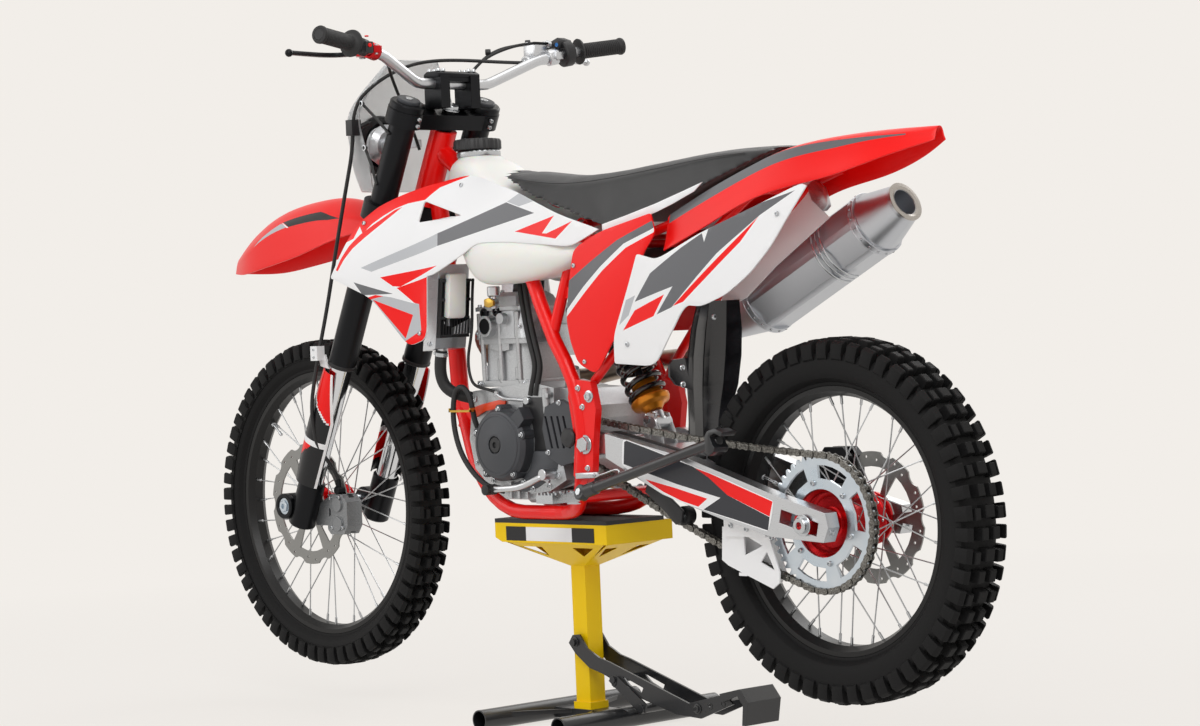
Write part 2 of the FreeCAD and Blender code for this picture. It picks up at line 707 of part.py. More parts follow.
def fuel_tank():
    """Tank: a crowned top that narrows to its neck, and two lobes beside the spars."""
    sections = []
    for x, half, low, high in (
            (1030, 26, 660, 700), (1008, 42, 620, 712), (985, 54, 590, 717), (955, 66, 572, 718),
            (925, 73, 560, 713), (900, 77, 555, 699), (876, 79, 552, 678), (836, 81, 550, 652),
            (760, 82, 548, 612), (640, 76, 548, 572)):
        corners = [V(x, -half, low), V(x, half, low)]
        for k in range(11):
            turn = math.radians(18 * k)
            side = math.copysign(abs(math.cos(turn)) ** 0.8, math.cos(turn))
            drop = min(34, high - low - 4)
            corners.append(V(x, half * side, high - drop + drop * math.sin(turn) ** 0.9))
        sections.append(corners)
    top = lofted(sections)
    neck = Part.makeCone(54, 42, 26, V(960, 0, 690), V(0.03, 0, 1))
    lobe = tank_lobe()
    return fused(top, neck, lobe, mirrored(lobe))


def fuel_cap():
    """Screwed filler cap on its neck."""
    neck = rod(V(964, 0, 716.1), V(966, 0, 730), 40)
    cap = rod(V(966, 0, 730), V(968, 0, 750), 47)
    return fused(neck, cap)


def shroud():
    """Left radiator shroud, from its forward point back along the seat."""
    heights = (330, 440, 550, 620, 690)
    rows = []
    for x, widths in ((450, (140, 138, 136, 134, 130)), (600, (146, 145, 140, 130, 112)),
                      (750, (155, 152, 146, 131, 102)), (870, (165, 158, 148, 124, 76)),
                      (950, (178, 165, 152, 127, 84)), (1030, (196, 188, 172, 146, 106)),
                      (1110, (212, 208, 192, 160, 120)), (1200, (226, 222, 208, 180, 142))):
        rows.append([(x, y, z) for y, z in zip(widths, heights)])
    outline = plate([(1186, 485), (1163, 531), (1144, 575), (1128, 599), (1096, 625),
                     (1043, 645), (985, 659), (903, 674), (846, 668), (715, 633), (589, 582),
                     (476, 547), (552, 518), (626, 526), (809, 540), (857, 512), (936, 480),
                     (950, 479), (945, 355), (988, 341), (1079, 441)], 50, 260)
    opening = plate([(984, 586), (984, 629), (867, 594)], 50, 260)
    return skin(rows, PANEL_WALL).common(outline).cut(opening)


def side_panel():
    """Left side cover below the seat."""
    rows = []
    for x, widths in ((300, (122, 126, 126, 120)), (400, (128, 134, 136, 130)),
                      (490, (130, 137, 138, 132)), (600, (130, 132, 134, 130))):
        rows.append([(x, y, z) for y, z in zip(widths, (250, 360, 470, 590))])
    outline = plate([(476, 542), (548, 514), (559, 475), (578, 382), (570, 339), (552, 297),
                     (502, 275), (453, 336), (444, 339), (391, 437), (364, 496), (334, 533),
                     (345, 570)], 50, 260)
    return skin(rows, PANEL_WALL).common(outline)


def number_panel():
    """Left rear number panel."""
    rows = []
    for x, widths in ((470, (134, 140, 140, 136)), (314, (140, 146, 145, 138)),
                      (207, (134, 140, 138, 130)), (95, (122, 128, 124, 114)),
                      (-60, (102, 108, 104, 94))):
        rows.append([(x, y, z) for y, z in zip(widths, (270, 400, 520, 650))])
    outline = plate([(444, 345), (394, 437), (367, 496), (314, 483), (207, 527), (95, 565),
                     (-14, 591), (-32, 640), (-44, 545), (44, 469), (151, 417), (210, 395),
                     (249, 398), (335, 288), (447, 295)], 50, 260)
    return skin(rows, PANEL_WALL).common(outline)


def seat():
    """Seat: flat on top, flaring down to its lower edge."""
    sections = []
    for x, z_top, z_low, top, low in (
            (842, 686, 676, 44, 48), (756, 672, 636, 66, 82), (601, 657, 590, 74, 112),
            (476, 661, 551, 78, 126), (340, 670, 580, 84, 116), (209, 680, 624, 88, 100),
            (73, 684, 672, 76, 80)):
        sections.append([V(x, -low, z_low), V(x, -low, z_low + 8), V(x, -top, z_top - 8),
                         V(x, -top + 14, z_top), V(x, top - 14, z_top), V(x, top, z_top - 8),
                         V(x, low, z_low + 8), V(x, low, z_low)])
    return lofted(sections, False)


def rear_fender():
    """Rear mudguard: an upside-down channel out to the tail."""
    sections = []
    for x, z_top, z_low, top, low in (
            (330, 570, 500, 96, 112), (209, 616, 545, 92, 108), (120, 650, 580, 84, 100),
            (66, 668, 594, 84, 94), (-60, 684, 612, 74, 80), (-171, 686, 644, 64, 70),
            (-281, 682, 664, 48, 56)):
        sections.append([V(x, -low, z_low), V(x, -top, z_top), V(x, top, z_top), V(x, low, z_low),
                         V(x, low - 4, z_low), V(x, top - 4, z_top - 4),
                         V(x, 4 - top, z_top - 4), V(x, 4 - low, z_low)])
    return lofted(sections)


def mud_flap():
    """Flap ahead of the rear tyre: a ridged wall curled back at its edges, and its left ear."""
    sections = []
    for z, front, half, edge in (
            (146, 357, 49, 350), (180, 356, 52, 344), (217, 354, 59, 336), (245, 352, 66, 330),
            (300, 346, 70, 322), (350, 338, 66, 314), (404, 326, 54, 306)):
        outer = []
        for share in (-1, -0.6, -0.12, 0, 0.12, 0.6, 1):
            proud = 0 if share else FLAP_RIDGE
            outer.append(V(front + proud - (front - edge) * share * share, half * share, z))
        inner = [point - V(PANEL_WALL, 0, 0) for point in reversed(outer)]
        sections.append(outer + inner)
    ear = [V(328, y, z) for y, z in ((56, 302), (106, 298), (115, 290), (115, 268), (100, 252),
                                     (56, 240))]
    ear = Part.Face(Part.makePolygon(ear + ear[:1])).extrude(V(-5, 0, 0))
    return fused(lofted(sections), ear)


# Brakes and foot controls

def front_caliper():
    """Twin-piston caliper behind the left fork foot, straddling the disc."""
    body = plate([(1335, -30), (1348, -48), (1392, -48), (1401, -38), (1401, 26), (1390, 36),
                  (1352, 36), (1335, 20)], 44, 84)
    slot = block(1344, 1420, 55, 69, -60, 60)
    waist = plate([(1401, -14), (1390, -8), (1390, 4), (1401, 10)], 69, 90)
    pistons = [across(1366, z, 84, 88, 15) for z in (14, -26)]
    ear = plate([(1396, 30), (1396, -30), (1440, -30), (1440, 10)], 78, 84)
    return fused(body.cut([slot, waist]), ear, *pistons)


def rear_caliper():
    """Single-piston caliper above the right arm, straddling the disc."""
    body = plate([(40, 74), (52, 62), (104, 62), (116, 74), (116, 110), (100, 128), (56, 128),
                  (40, 112)], -92, -52)
    slot = block(30, 111, -75, -61, 50, 140)
    piston = across(78, 96, -96, -92, 17)
    bracket = block(60, 100, -92, -86, 40, 63)
    return fused(body.cut(slot), bracket, piston)


def footpegs():
    """Left footpeg on the cradle's rear bend: an open cleated frame on its mount."""
    peg = block(586, 632, 112, 182, 34, 50)
    windows = [block(x, x + 13, 120, 176, 30, 55) for x in (592, 613)]
    teeth = [block(x, x + 4, y, y + 5, 47, 54) for x in (587, 607, 627)
             for y in (118, 134, 150, 166, 176)]
    mount = block(596, 622, 94, 112, 28, 54)
    return fused(peg.cut(windows), mount, *teeth)


def foot_controls():
    """Gear lever on the left and brake pedal on the right."""
    gear = tube([V(690, 54.5, 84), V(690, 106, 84), V(730, 132, 60), V(810, 138, 56)], 6)
    toe = across(810, 56, 120, 156, 8)
    pedal = tube([V(640, -100, 46), V(660, -134, 40), V(740, -140, 38), V(812, -134, 60)], 7)
    pad = block(800, 830, -160, -126, 54, 66)
    return Part.makeCompound([fused(gear, toe), fused(pedal, pad)])


def side_stand():
    """Prop stand folded up beside the swingarm."""
    along = unit(PROP_FOOT - PROP_PIVOT)
    knuckle = rod(PROP_PIVOT - PROP_AXIS * 9, PROP_PIVOT + PROP_AXIS * 9, 15)
    leg = rod(PROP_PIVOT + along * 8, PROP_FOOT - along * 10, 10)
    foot = block(PROP_FOOT.x - 16, PROP_FOOT.x + 14, PROP_FOOT.y - 18, PROP_FOOT.y + 22,
                 PROP_FOOT.z - 22, PROP_FOOT.z + 26)
    return fused(knuckle, leg, foot)


# Lift stand

def stand_mat():
    """Rubber mat that the cradle rests on."""
    return block(STAND_REAR, STAND_FRONT, STAND_RIGHT + 22, STAND_LEFT,
                 STAND_TOP - MAT_THICKNESS, STAND_TOP)


def stand_top():
    """Folded tray, the windowed skirts under it and the square column."""
    z = STAND_TOP - MAT_THICKNESS
    low = z - TRAY_DEPTH
    half = COLUMN_SIZE / 2
    tray = block(STAND_REAR, STAND_FRONT, STAND_RIGHT, STAND_LEFT, low, z)
    tray = tray.cut([block(STAND_REAR + 3, STAND_FRONT - 3, STAND_RIGHT + 3, STAND_LEFT - 3,
                           low - 1, z - 3),
                     plate([(STAND_FRONT + 1, low - 1), (STAND_FRONT + 1, low + 9),
                            (STAND_FRONT - 22, low - 1)], STAND_RIGHT - 1, STAND_LEFT + 1)])
    apex = low - 50
    skirts = []
    for y, foot in ((STAND_LEFT, COLUMN.y + half), (STAND_RIGHT, COLUMN.y - half)):
        inward = V(0, -3 if y > 0 else 3, 0)
        face = Part.Face(Part.makePolygon([V(STAND_REAR + 6, y, low + 4),
                                           V(STAND_FRONT - 22, y, low + 4),
                                           V(COLUMN.x + half, foot, apex),
                                           V(COLUMN.x - half, foot, apex),
                                           V(STAND_REAR + 6, y, low + 4)]))
        skirts.append(face.extrude(inward))
    for x, foot in ((STAND_REAR, COLUMN.x - half), (STAND_FRONT, COLUMN.x + half)):
        inward = V(3 if x == STAND_REAR else -3, 0, 0)
        face = Part.Face(Part.makePolygon([V(x, STAND_RIGHT + 8, low + 4),
                                           V(x, STAND_LEFT - 8, low + 4),
                                           V(foot, COLUMN.y + half, apex),
                                           V(foot, COLUMN.y - half, apex),
                                           V(x, STAND_RIGHT + 8, low + 4)]))
        skirts.append(face.extrude(inward))
    windows = [plate([(x0, low - 9), (x1, low - 9), (x2, low - 28)], -200, 200)
               for x0, x1, x2 in ((618, 678, 672), (826, 766, 772))]
    for y0, y1, y2 in ((-78, -46, -50), (40, 6, 10)):
        corners = [V(STAND_REAR - 5, y0, low - 10), V(STAND_REAR - 5, y1, low - 10),
                   V(STAND_REAR - 5, y2, low - 30)]
        windows.append(Part.Face(Part.makePolygon(corners + corners[:1])).extrude(
            V(STAND_FRONT - STAND_REAR + 10, 0, 0)))
    column = block(COLUMN.x - half, COLUMN.x + half, COLUMN.y - half, COLUMN.y + half,
                   COLUMN_FOOT, z - 3)
    flange = block(COLUMN.x - half - 4, COLUMN.x + half + 4, COLUMN.y - half - 4,
                   COLUMN.y + half + 4, COLUMN_FOOT, COLUMN_FOOT + 14)
    return fused(tray, *[skirt.cut(windows) for skirt in skirts], column, flange)


def stand_base():
    """Tube feet, the spine between them and the sloping webs up to the column."""
    z = FOOT_RADIUS - FLOOR_DROP
    low, high = COLUMN.y - FOOT_REACH, COLUMN.y + FOOT_REACH
    feet = [across(x, z, low, high, FOOT_RADIUS) for x in FEET_X]
    spine = block(582, 826, COLUMN.y - 26, COLUMN.y + 26, -404, COLUMN_FOOT)
    webs = []
    for x in FEET_X:
        for side in (-1, 1):
            web = [V(x - 16, COLUMN.y + side * 150, z + 10), V(x + 16, COLUMN.y + side * 150, z + 10),
                   V(COLUMN.x + 26 if x > COLUMN.x else COLUMN.x - 26, COLUMN.y + side * 20,
                     COLUMN_FOOT - 0.5)]
            webs.append(Part.Face(Part.makePolygon(web + web[:1])).extrude(V(0, 0, -8)))
    bores = [across(x, z, y, y + FOOT_BORE_DEPTH, FOOT_BORE) for x in FEET_X
             for y in (low, high - FOOT_BORE_DEPTH)]
    return fused(*feet, spine, *webs).cut(bores)


def stand_lever():
    """Foot lever: curved grip arms, windowed side plates, links and the pedal."""
    y0, y1 = COLUMN.y + 26.5, COLUMN.y + 31
    arm = plate([(734, -238), (715, -236), (695, -262), (661, -279), (633, -286), (418, -353),
                 (321, -330), (300, -348), (386, -380), (453, -376), (600, -338), (635, -316),
                 (655, -309), (690, -300), (728, -274), (746, -254)], y0, y1)
    arm = arm.cut([plate([(598, -311), (540, -331), (545, -341), (578, -328)], y0 - 1, y1 + 1),
                   across(398, -361, y0 - 1, y1 + 1, 4), across(363, -353, y0 - 1, y1 + 1, 4)])
    link = plate([(621, -312), (607, -312), (530, -362), (534, -378), (552, -378), (632, -322)],
                 y1, y1 + 4)
    pieces = [arm, link]
    pieces += [piece.mirror(COLUMN, V(0, 1, 0)) for piece in pieces]
    for x, z, radius in ((728, -252, 7), (618, -319, 7), (543, -371, 9)):
        pieces.append(across(x, z, y0 - 53 - 8, y1 + 8, radius))
    pedal = plate([(322, -328), (268, -316), (248, -340), (256, -384), (266, -384), (262, -346),
                   (276, -330), (318, -344)], COLUMN.y - 44, COLUMN.y + 44)
    return fused(*pieces, pedal)


# Steering assembly

def triple_clamps():
    """Both fork clamps, the stem and the bar mounts."""
    shapes = [rod(on_stem(6), on_stem(246), 14)]
    for down, depth, half in ((12, 32, 30), (216, 36, 31)):
        for side in (-1, 1):
            eye = rod(on_fork(down, side * FORK_SPREAD), on_fork(down + depth, side * FORK_SPREAD),
                      half + 8)
            shapes.append(eye)
        corners = [on_fork(down, -FORK_SPREAD, -34), on_fork(down, -FORK_SPREAD, 30),
                   on_fork(down, FORK_SPREAD, 30), on_fork(down, FORK_SPREAD, -34)]
        bridge = Part.Face(Part.makePolygon(corners + corners[:1]))
        shapes.append(bridge.extrude(FORK_DOWN * depth))
    riser = block(1010, 1062, 28, 52, 818, 884)
    shapes += [riser, mirrored(riser), block(1014, 1058, -50, 50, 872, 884)]
    clamps = fused(*shapes)
    for side in (-1, 1):
        clamps = clamps.cut(rod(on_fork(0, side * FORK_SPREAD), on_fork(300, side * FORK_SPREAD),
                                UPPER_TUBE_RADIUS))
    return clamps


def fork_tubes():
    """Upside-down fork's upper tubes with their caps."""
    leg = fused(rod(on_fork(0, FORK_SPREAD), on_fork(300, FORK_SPREAD), UPPER_TUBE_RADIUS),
                rod(on_fork(260, FORK_SPREAD), on_fork(582, FORK_SPREAD), UPPER_TUBE_RADIUS + 2),
                rod(on_fork(-8, FORK_SPREAD), on_fork(2, FORK_SPREAD), 20))
    leg = leg.cut(rod(on_fork(430, FORK_SPREAD), on_fork(600, FORK_SPREAD), LOWER_TUBE_RADIUS))
    return both(leg)


def fork_sliders():
    """Chromed lower tubes with the axle feet."""
    slider = rod(on_fork(430.2, FORK_SPREAD), on_fork(880, FORK_SPREAD), LOWER_TUBE_RADIUS)
    foot = rod(on_fork(850, FORK_SPREAD), on_fork(948, FORK_SPREAD), 27)
    eye = across(FRONT_AXLE.x, FRONT_AXLE.z, 80, 122, 25)
    leg = fused(slider, foot, eye)
    leg = leg.cut(across(FRONT_AXLE.x, FRONT_AXLE.z, 60, 140, 12.05))
    return both(leg)


def front_axle():
    """Front axle with its nut."""
    shaft = across(FRONT_AXLE.x, FRONT_AXLE.z, -128, 128, 12)
    nut = across(FRONT_AXLE.x, FRONT_AXLE.z, 122.2, 131, 17)
    head = across(FRONT_AXLE.x, FRONT_AXLE.z, -131, -122.2, 17)
    return fused(shaft, nut, head)


def fork_guards():
    """Plastic guards in front of the lower tubes."""
    outer = rod(on_fork(600, FORK_SPREAD), on_fork(840, FORK_SPREAD), 34)
    outer = outer.cut(rod(on_fork(590, FORK_SPREAD), on_fork(850, FORK_SPREAD), 31))
    behind = on_fork(590, FORK_SPREAD, -40)
    corners = [behind + V(0, -60, 0), behind + V(0, 60, 0),
               behind + FORK_AHEAD * 34 + V(0, 60, 0), behind + FORK_AHEAD * 34 + V(0, -60, 0)]
    cutter = Part.Face(Part.makePolygon(corners + corners[:1])).extrude(FORK_DOWN * 260)
    inner_side = block(1200, 1600, 40, 73, -60, 400)
    return both(outer.cut([cutter, inner_side]))


def handlebar():
    """Wide bar with an upswept bend each side."""
    route = [V(953, -BAR_HALF_WIDTH, 949), V(984, -285, 935), V(1002, -205, 918),
             V(1036, -92, 868), V(1036, 92, 868), V(1002, 205, 918), V(984, 285, 935),
             V(953, BAR_HALF_WIDTH, 949)]
    return tube(route, 11, 60)


def grips():
    """Rubber grips with their round flanges."""
    inner = V(984, 285, 935)
    outer = V(953, BAR_HALF_WIDTH, 949)
    along = unit(outer - inner)
    inner = inner + along * 16
    grip = fused(rod(inner, outer, 16), rod(inner, inner + along * 6, 27))
    return both(grip.cut(rod(inner - along * 9, outer + along * 9, 11)))


def hand_controls():
    """Clutch lever and perch on the left, brake cylinder and throttle on the right."""
    bend = V(984, 285, 935)
    inward = unit(V(1002, 205, 918) - bend)
    perch = fused(rod(bend + inward * 36, bend + inward * 60, 17),
                  shelf([(998, 256), (998, 226), (1018, 222), (1034, 230), (1034, 250),
                         (1022, 258)], 916, 933),
                  rod(V(1024, 240, 912), V(1024, 240, 937), 9))
    lever = tube([V(1024, 240, 924), V(1080, 262, 922), V(1072, 330, 922), V(1058, 396, 921)], 6)
    adjuster = rod(V(1016, 228, 924), V(1022, 190, 918), 6)
    left = fused(perch, lever, adjuster)
    throttle = rod(V(989, -262, 931), V(984.5, -283, 934.6), 27)
    pump = rod(V(1028, -254, 930), V(1016, -186, 916), 13)
    reservoir = rod(V(1018, -216, 924), V(1018, -216, 958), 19)
    brake = tube([V(1024, -240, 926), V(1084, -262, 924), V(1074, -330, 924), V(1058, -392, 922)],
                 6)
    right = fused(mirrored(perch), throttle, pump, reservoir, brake)
    return Part.makeCompound([left, right])


def throttle_cables():
    """Throttle cables looping forward from the housing."""
    first = hose([V(1012, -270, 938), V(1070, -250, 962), V(1124, -190, 950),
                  V(1130, -130, 900), V(1120, -100, 850)], 3.2)
    return first


def headlight_mask():
    """Headlight mask: a rounded shell ahead of the clamps, with the lamp's lens in it."""
    def level(z, half, rear, front, inset):
        ring = []
        for k in range(9):
            turn = math.radians(22.5 * k - 90)
            depth = abs(math.cos(turn)) ** 0.72
            ring.append(V(rear + (front - inset - rear) * depth, (half - inset) * math.sin(turn), z))
        return ring
    rows = ((662, 98, 1186, 1272), (708, 112, 1176, 1290), (762, 123, 1178, 1288),
            (816, 128, 1182, 1276), (880, 96, 1166, 1226), (930, 58, 1150, 1180))
    outer = lofted([level(z, h, r, f, 0) for z, h, r, f in rows])
    drops = [-1] + [0] * (len(rows) - 2) + [-MASK_WALL]
    inner = lofted([level(z + drop, h, r - 6, f, MASK_WALL)
                    for drop, (z, h, r, f) in zip(drops, rows)])
    lamp = Part.makeCone(24, 48, 60, V(1232, 0, 756), V(1, 0, 0.12))
    return fused(outer.cut(inner), lamp)


def front_fender():
    """Front mudguard, from under the lower clamp out to its beak."""
    sections = []
    for x, z_top, z_low, top, low in (
            (1190, 588, 562, 40, 44), (1250, 612, 582, 46, 54), (1347, 652, 570, 56, 80),
            (1473, 656, 534, 56, 78), (1618, 630, 566, 50, 68), (1700, 594, 538, 38, 58),
            (1779, 542, 508, 12, 24)):
        sections.append([V(x, -low, z_low), V(x, -top, z_top - 14), V(x, 0, z_top),
                         V(x, top, z_top - 14), V(x, low, z_low), V(x, low - 4, z_low),
                         V(x, top - 3, z_top - 18), V(x, 0, z_top - 4),
                         V(x, 3 - top, z_top - 18), V(x, 4 - low, z_low)])
    return lofted(sections, False)


def brake_hose():
    """Front brake hose, down the left fork leg to its caliper."""
    return hose([V(1194, 134, 800), V(1207, 130, 740), V(1260, 127, 600), V(1318, 127, 420),
                 V(1342, 138, 320), V(1362, 146, 220), V(1366, 132, 140), V(1364, 96, 96),
                 V(1366, 76, 66), V(1366, 76, 36.1)], 4)


def build():
    """Write every piece."""
    os.makedirs(PARTS, exist_ok=True)
    frame = main_frame()
    rails = subframe().cut(frame)
    arm = swingarm()
    bar = handlebar()
    head = cylinder()
    levers = foot_controls()
    cases = largest(engine_cases().cut([head, frame, levers]))
    panels = both(shroud())
    covers = past_exhaust(side_panel())
    tank = largest(fuel_tank().cut([frame, rails, panels, covers]))
    damper = shock().cut(frame)
    cooler = radiators().cut(panels)
    pipe = exhaust_pipe().cut(head)
    silencer = muffler().cut(pipe)
    legs = fork_sliders()
    lever = stand_lever()
    controls = hand_controls().cut(bar)
    nodes = {
        "main_frame": frame,
        "subframe": rails,
        "swingarm": arm,
        "rear_axle": rear_axle(),
        "chain": chain(),
        "chain_guide": chain_guide().cut(arm),
        "shock": damper,
        "engine_cases": cases,
        "cylinder": head,
        "ignition_cover": ignition_cover(),
        "sprocket_cover": sprocket_cover(),
        "clutch_cover": clutch_cover(),
        "drive_sprocket": drive_sprocket(),
        "carburettor": carburettor().cut([head, cases]),
        "airbox": airbox(),
        "radiators": cooler,
        "coolant_hoses": coolant_hoses().cut([cases, cooler, pipe]),
        "exhaust_pipe": pipe,
        "muffler": silencer,
        "fuel_tank": tank,
        "fuel_cap": fuel_cap().cut(tank),
        "shrouds": panels,
        "side_panels": covers,
        "number_panels": past_exhaust(number_panel()),
        "seat": seat(),
        "rear_fender": rear_fender(),
        "mud_flap": mud_flap(),
        "rear_caliper": rear_caliper().cut(arm),
        "footpegs": both(largest(footpegs().cut(frame))),
        "foot_controls": levers,
        "stand_mat": stand_mat(),
        "stand_top": stand_top().cut(lever),
        "stand_base": stand_base(),
        "stand_lever": lever,
        "side_stand": side_stand(),
        "triple_clamps": triple_clamps().cut(bar),
        "fork_tubes": fork_tubes(),
        "fork_sliders": legs,
        "fork_guards": fork_guards(),
        "front_axle": front_axle(),
        "handlebar": bar,
        "grips": grips(),
        "hand_controls": controls,
        "throttle_cables": throttle_cables().cut(controls),
        "headlight_mask": headlight_mask(),
        "front_fender": front_fender(),
        "front_caliper": front_caliper().cut(legs),
        "brake_hose": brake_hose(),
        "front_tyre": tyre(FRONT_AXLE, 280.3, 20.5, FRONT_RADIUS, 42),
        "front_rim": rim(FRONT_AXLE, 280.3, 20.5),
        "front_disc": disc(FRONT_AXLE, 62, 128, 34, 10),
        "rear_tyre": tyre(REAR_AXLE, 242.2, 27.3, REAR_RADIUS, 54),
        "rear_rim": rim(REAR_AXLE, 242.2, 27.3),
        "rear_disc": disc(REAR_AXLE, -CHAIN_Y, 120, 34, 10),
        "rear_sprocket": rear_sprocket(),
        "front_hub": front_hub(),
        "rear_hub": rear_hub(),
    }
    for name, shape in nodes.items():
        export(name, shape)


build()
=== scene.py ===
import math

import bmesh
import bpy
import numpy as np
from mathutils import Matrix, Vector
from mathutils.geometry import delaunay_2d_cdt


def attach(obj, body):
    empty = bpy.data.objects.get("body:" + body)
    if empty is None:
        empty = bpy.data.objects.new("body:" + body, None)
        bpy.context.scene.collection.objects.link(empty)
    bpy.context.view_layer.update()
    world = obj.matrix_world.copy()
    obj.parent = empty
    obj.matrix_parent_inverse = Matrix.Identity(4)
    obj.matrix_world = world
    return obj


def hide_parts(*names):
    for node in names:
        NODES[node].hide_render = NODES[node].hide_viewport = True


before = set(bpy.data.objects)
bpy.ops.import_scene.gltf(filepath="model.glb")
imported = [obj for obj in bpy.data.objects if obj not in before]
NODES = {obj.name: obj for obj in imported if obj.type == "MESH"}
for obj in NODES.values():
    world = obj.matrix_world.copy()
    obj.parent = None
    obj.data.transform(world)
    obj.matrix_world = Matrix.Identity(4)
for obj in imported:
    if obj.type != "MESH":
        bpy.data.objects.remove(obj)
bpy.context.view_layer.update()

bl_info = {
    "name": "Off-road bike on a lift stand",
    "version": (1, 0, 0),
    "blender": (4, 5, 0),
    "location": "View3D > Sidebar > Bike",
    "description": "Builds the looks of an off-road bike round its packed frame",
    "category": "Object",
}

# Sizes are in millimetres from the rear axle: +X forward, +Y to the rider's left, +Z up.
WHEELBASE = 1487.0
ORIGIN = Vector((752.75, 0.0, -410.0))
FRONT_AXLE = Vector((WHEELBASE, 0.0, 12.7))
REAR_AXLE = Vector((0.0, 0.0, 0.0))
RAKE = math.radians(25.66)
FORK_TOP = Vector((1058.0, 0.0, 829.5))
FORK_DOWN = Vector((math.sin(RAKE), 0.0, -math.cos(RAKE)))
FORK_AHEAD = Vector((math.cos(RAKE), 0.0, math.sin(RAKE)))
FORK_SPREAD = 100.0
CAMERA = (-3734.8, 4089.6, 382.5)

# The drive: a 5/8 in chain, in its own plane, round both sprockets.
CHAIN_PITCH = 15.875
CHAIN_Y = 68.0
REAR_TEETH, FRONT_TEETH = 48, 13
DRIVE_SHAFT = Vector((632.0, 0.0, 162.0))
SPOKES = 36


# Places and colours

def at(x, y, z):
    """A point of the bike, from millimetres to the frame's metres."""
    return (Vector((x, y, z)) - ORIGIN) * 0.001


def on_fork(down, side, ahead=0.0):
    """A point beside the fork's axis, in millimetres from the rear axle."""
    return FORK_TOP + FORK_DOWN * down + FORK_AHEAD * ahead + Vector((0, side, 0))


def linear(code):
    """An sRGB hex colour as the linear RGBA that shaders take."""
    parts = [int(code[k:k + 2], 16) / 255 for k in (1, 3, 5)]
    return tuple(c / 12.92 if c <= 0.04045 else ((c + 0.055) / 1.055) ** 2.4
                 for c in parts) + (1.0,)


# Finishes

MATERIALS = {}


def add_node(tree, kind, links=(), **settings):
    """Adds a node to a tree; a setting named after a socket sets it, and links feed sockets."""
    node = tree.nodes.new(kind)
    for key, value in settings.items():
        if hasattr(node, key):
            setattr(node, key, value)
        else:
            node.inputs[key.replace("_", " ")].default_value = value
    for socket, source in links:
        tree.links.new(source, node.inputs[socket])
    return node


def new_finish(name, colour, roughness, metallic=0.0, size=0.0, depth=0.0, spread=0.0,
               detail=2.0, stretch=(1, 1, 1), tones=(), blend=(0.35, 0.65), edge=0.0,
               **settings):
    """A finish of the bike or its stand; size, depth and edge are in millimetres.

    Noise of a real grain size gives the bump, a spread of roughness and a blend of two tones.
    The edge is the fillet that a casting or moulding shows at its sharp edges.
    """
    material = bpy.data.materials.new(name)
    material.use_nodes = True
    MATERIALS[name] = material
    tree = material.node_tree
    shader = tree.nodes["Principled BSDF"]
    shader.inputs["Base Color"].default_value = linear(colour)
    shader.inputs["Roughness"].default_value = roughness
    shader.inputs["Metallic"].default_value = metallic
    for key, value in settings.items():
        shader.inputs[key.replace("_", " ")].default_value = value
    if not size:
        return tree, shader
    where = add_node(tree, "ShaderNodeTexCoord")
    mapping = add_node(tree, "ShaderNodeMapping", [("Vector", where.outputs["Object"])],
                       Scale=stretch)
    noise = add_node(tree, "ShaderNodeTexNoise", [("Vector", mapping.outputs["Vector"])],
                     Scale=1000.0 / size, Detail=detail).outputs["Fac"]
    top = shader
    if depth:
        top = add_node(tree, "ShaderNodeBump", [("Height", noise)], Strength=1.0,
                       Distance=depth / 1000)
        tree.links.new(top.outputs["Normal"], shader.inputs["Normal"])
    level = shader.inputs["Roughness"].default_value
    ramp = add_node(tree, "ShaderNodeMapRange", [("Value", noise)], To_Min=level - spread,
                    To_Max=level + spread)
    tree.links.new(ramp.outputs["Result"], shader.inputs["Roughness"])
    if tones:
        ramp = add_node(tree, "ShaderNodeMapRange", [("Value", noise)], From_Min=blend[0],
                        From_Max=blend[1])
        mix = add_node(tree, "ShaderNodeMix", data_type="RGBA")
        mix.inputs[6].default_value, mix.inputs[7].default_value = map(linear, tones)
        tree.links.new(ramp.outputs["Result"], mix.inputs[0])
        tree.links.new(mix.outputs[2], shader.inputs["Base Color"])
    if edge:
        rounded = add_node(tree, "ShaderNodeBevel", samples=4, Radius=edge / 1000)
        tree.links.new(rounded.outputs["Normal"], top.inputs["Normal"])
    return tree, shader


# Powder-coated steel tube: glossy, with a faint orange-peel ripple.
new_finish("red_powder_coat", "#F80A06", 0.3, 0.0, 2.2, 0.05, 0.05, edge=1.5,
           Coat_Weight=0.12, Coat_Roughness=0.08, Specular_IOR_Level=0.35)
# Moulded polypropylene panels, dyed through: glossy with a soft moulding texture.
for tone, code, rough in (("red", "#FB0804", 0.36), ("white", "#F6F6F6", 0.32)):
    new_finish(tone + "_polypropylene", code, rough, 0.0, 1.2, 0.015, 0.05, Coat_Weight=0.06,
               Coat_Roughness=0.15, Specular_IOR_Level=0.3)
# Natural polyethylene of a blow-moulded tank: milky, light goes a little way in.
new_finish("natural_polyethylene", "#F3F2EC", 0.36, 0.0, 1.6, 0.03, 0.05,
           Subsurface_Weight=0.35, Subsurface_Scale=0.01)
# Printed vinyl film of the graphics, under a glossy laminate.
for tone, code in (("grey", "#6A6B6E"), ("black", "#1B1B1D"), ("silver", "#BFC1C4"),
                   ("white", "#F6F6F6"), ("red", "#F80A06"), ("dark_grey", "#34353A")):
    new_finish(tone + "_film", code, 0.3, 0.0, 0.9, 0.01, 0.03, Coat_Weight=0.08,
               Coat_Roughness=0.08, Specular_IOR_Level=0.3)
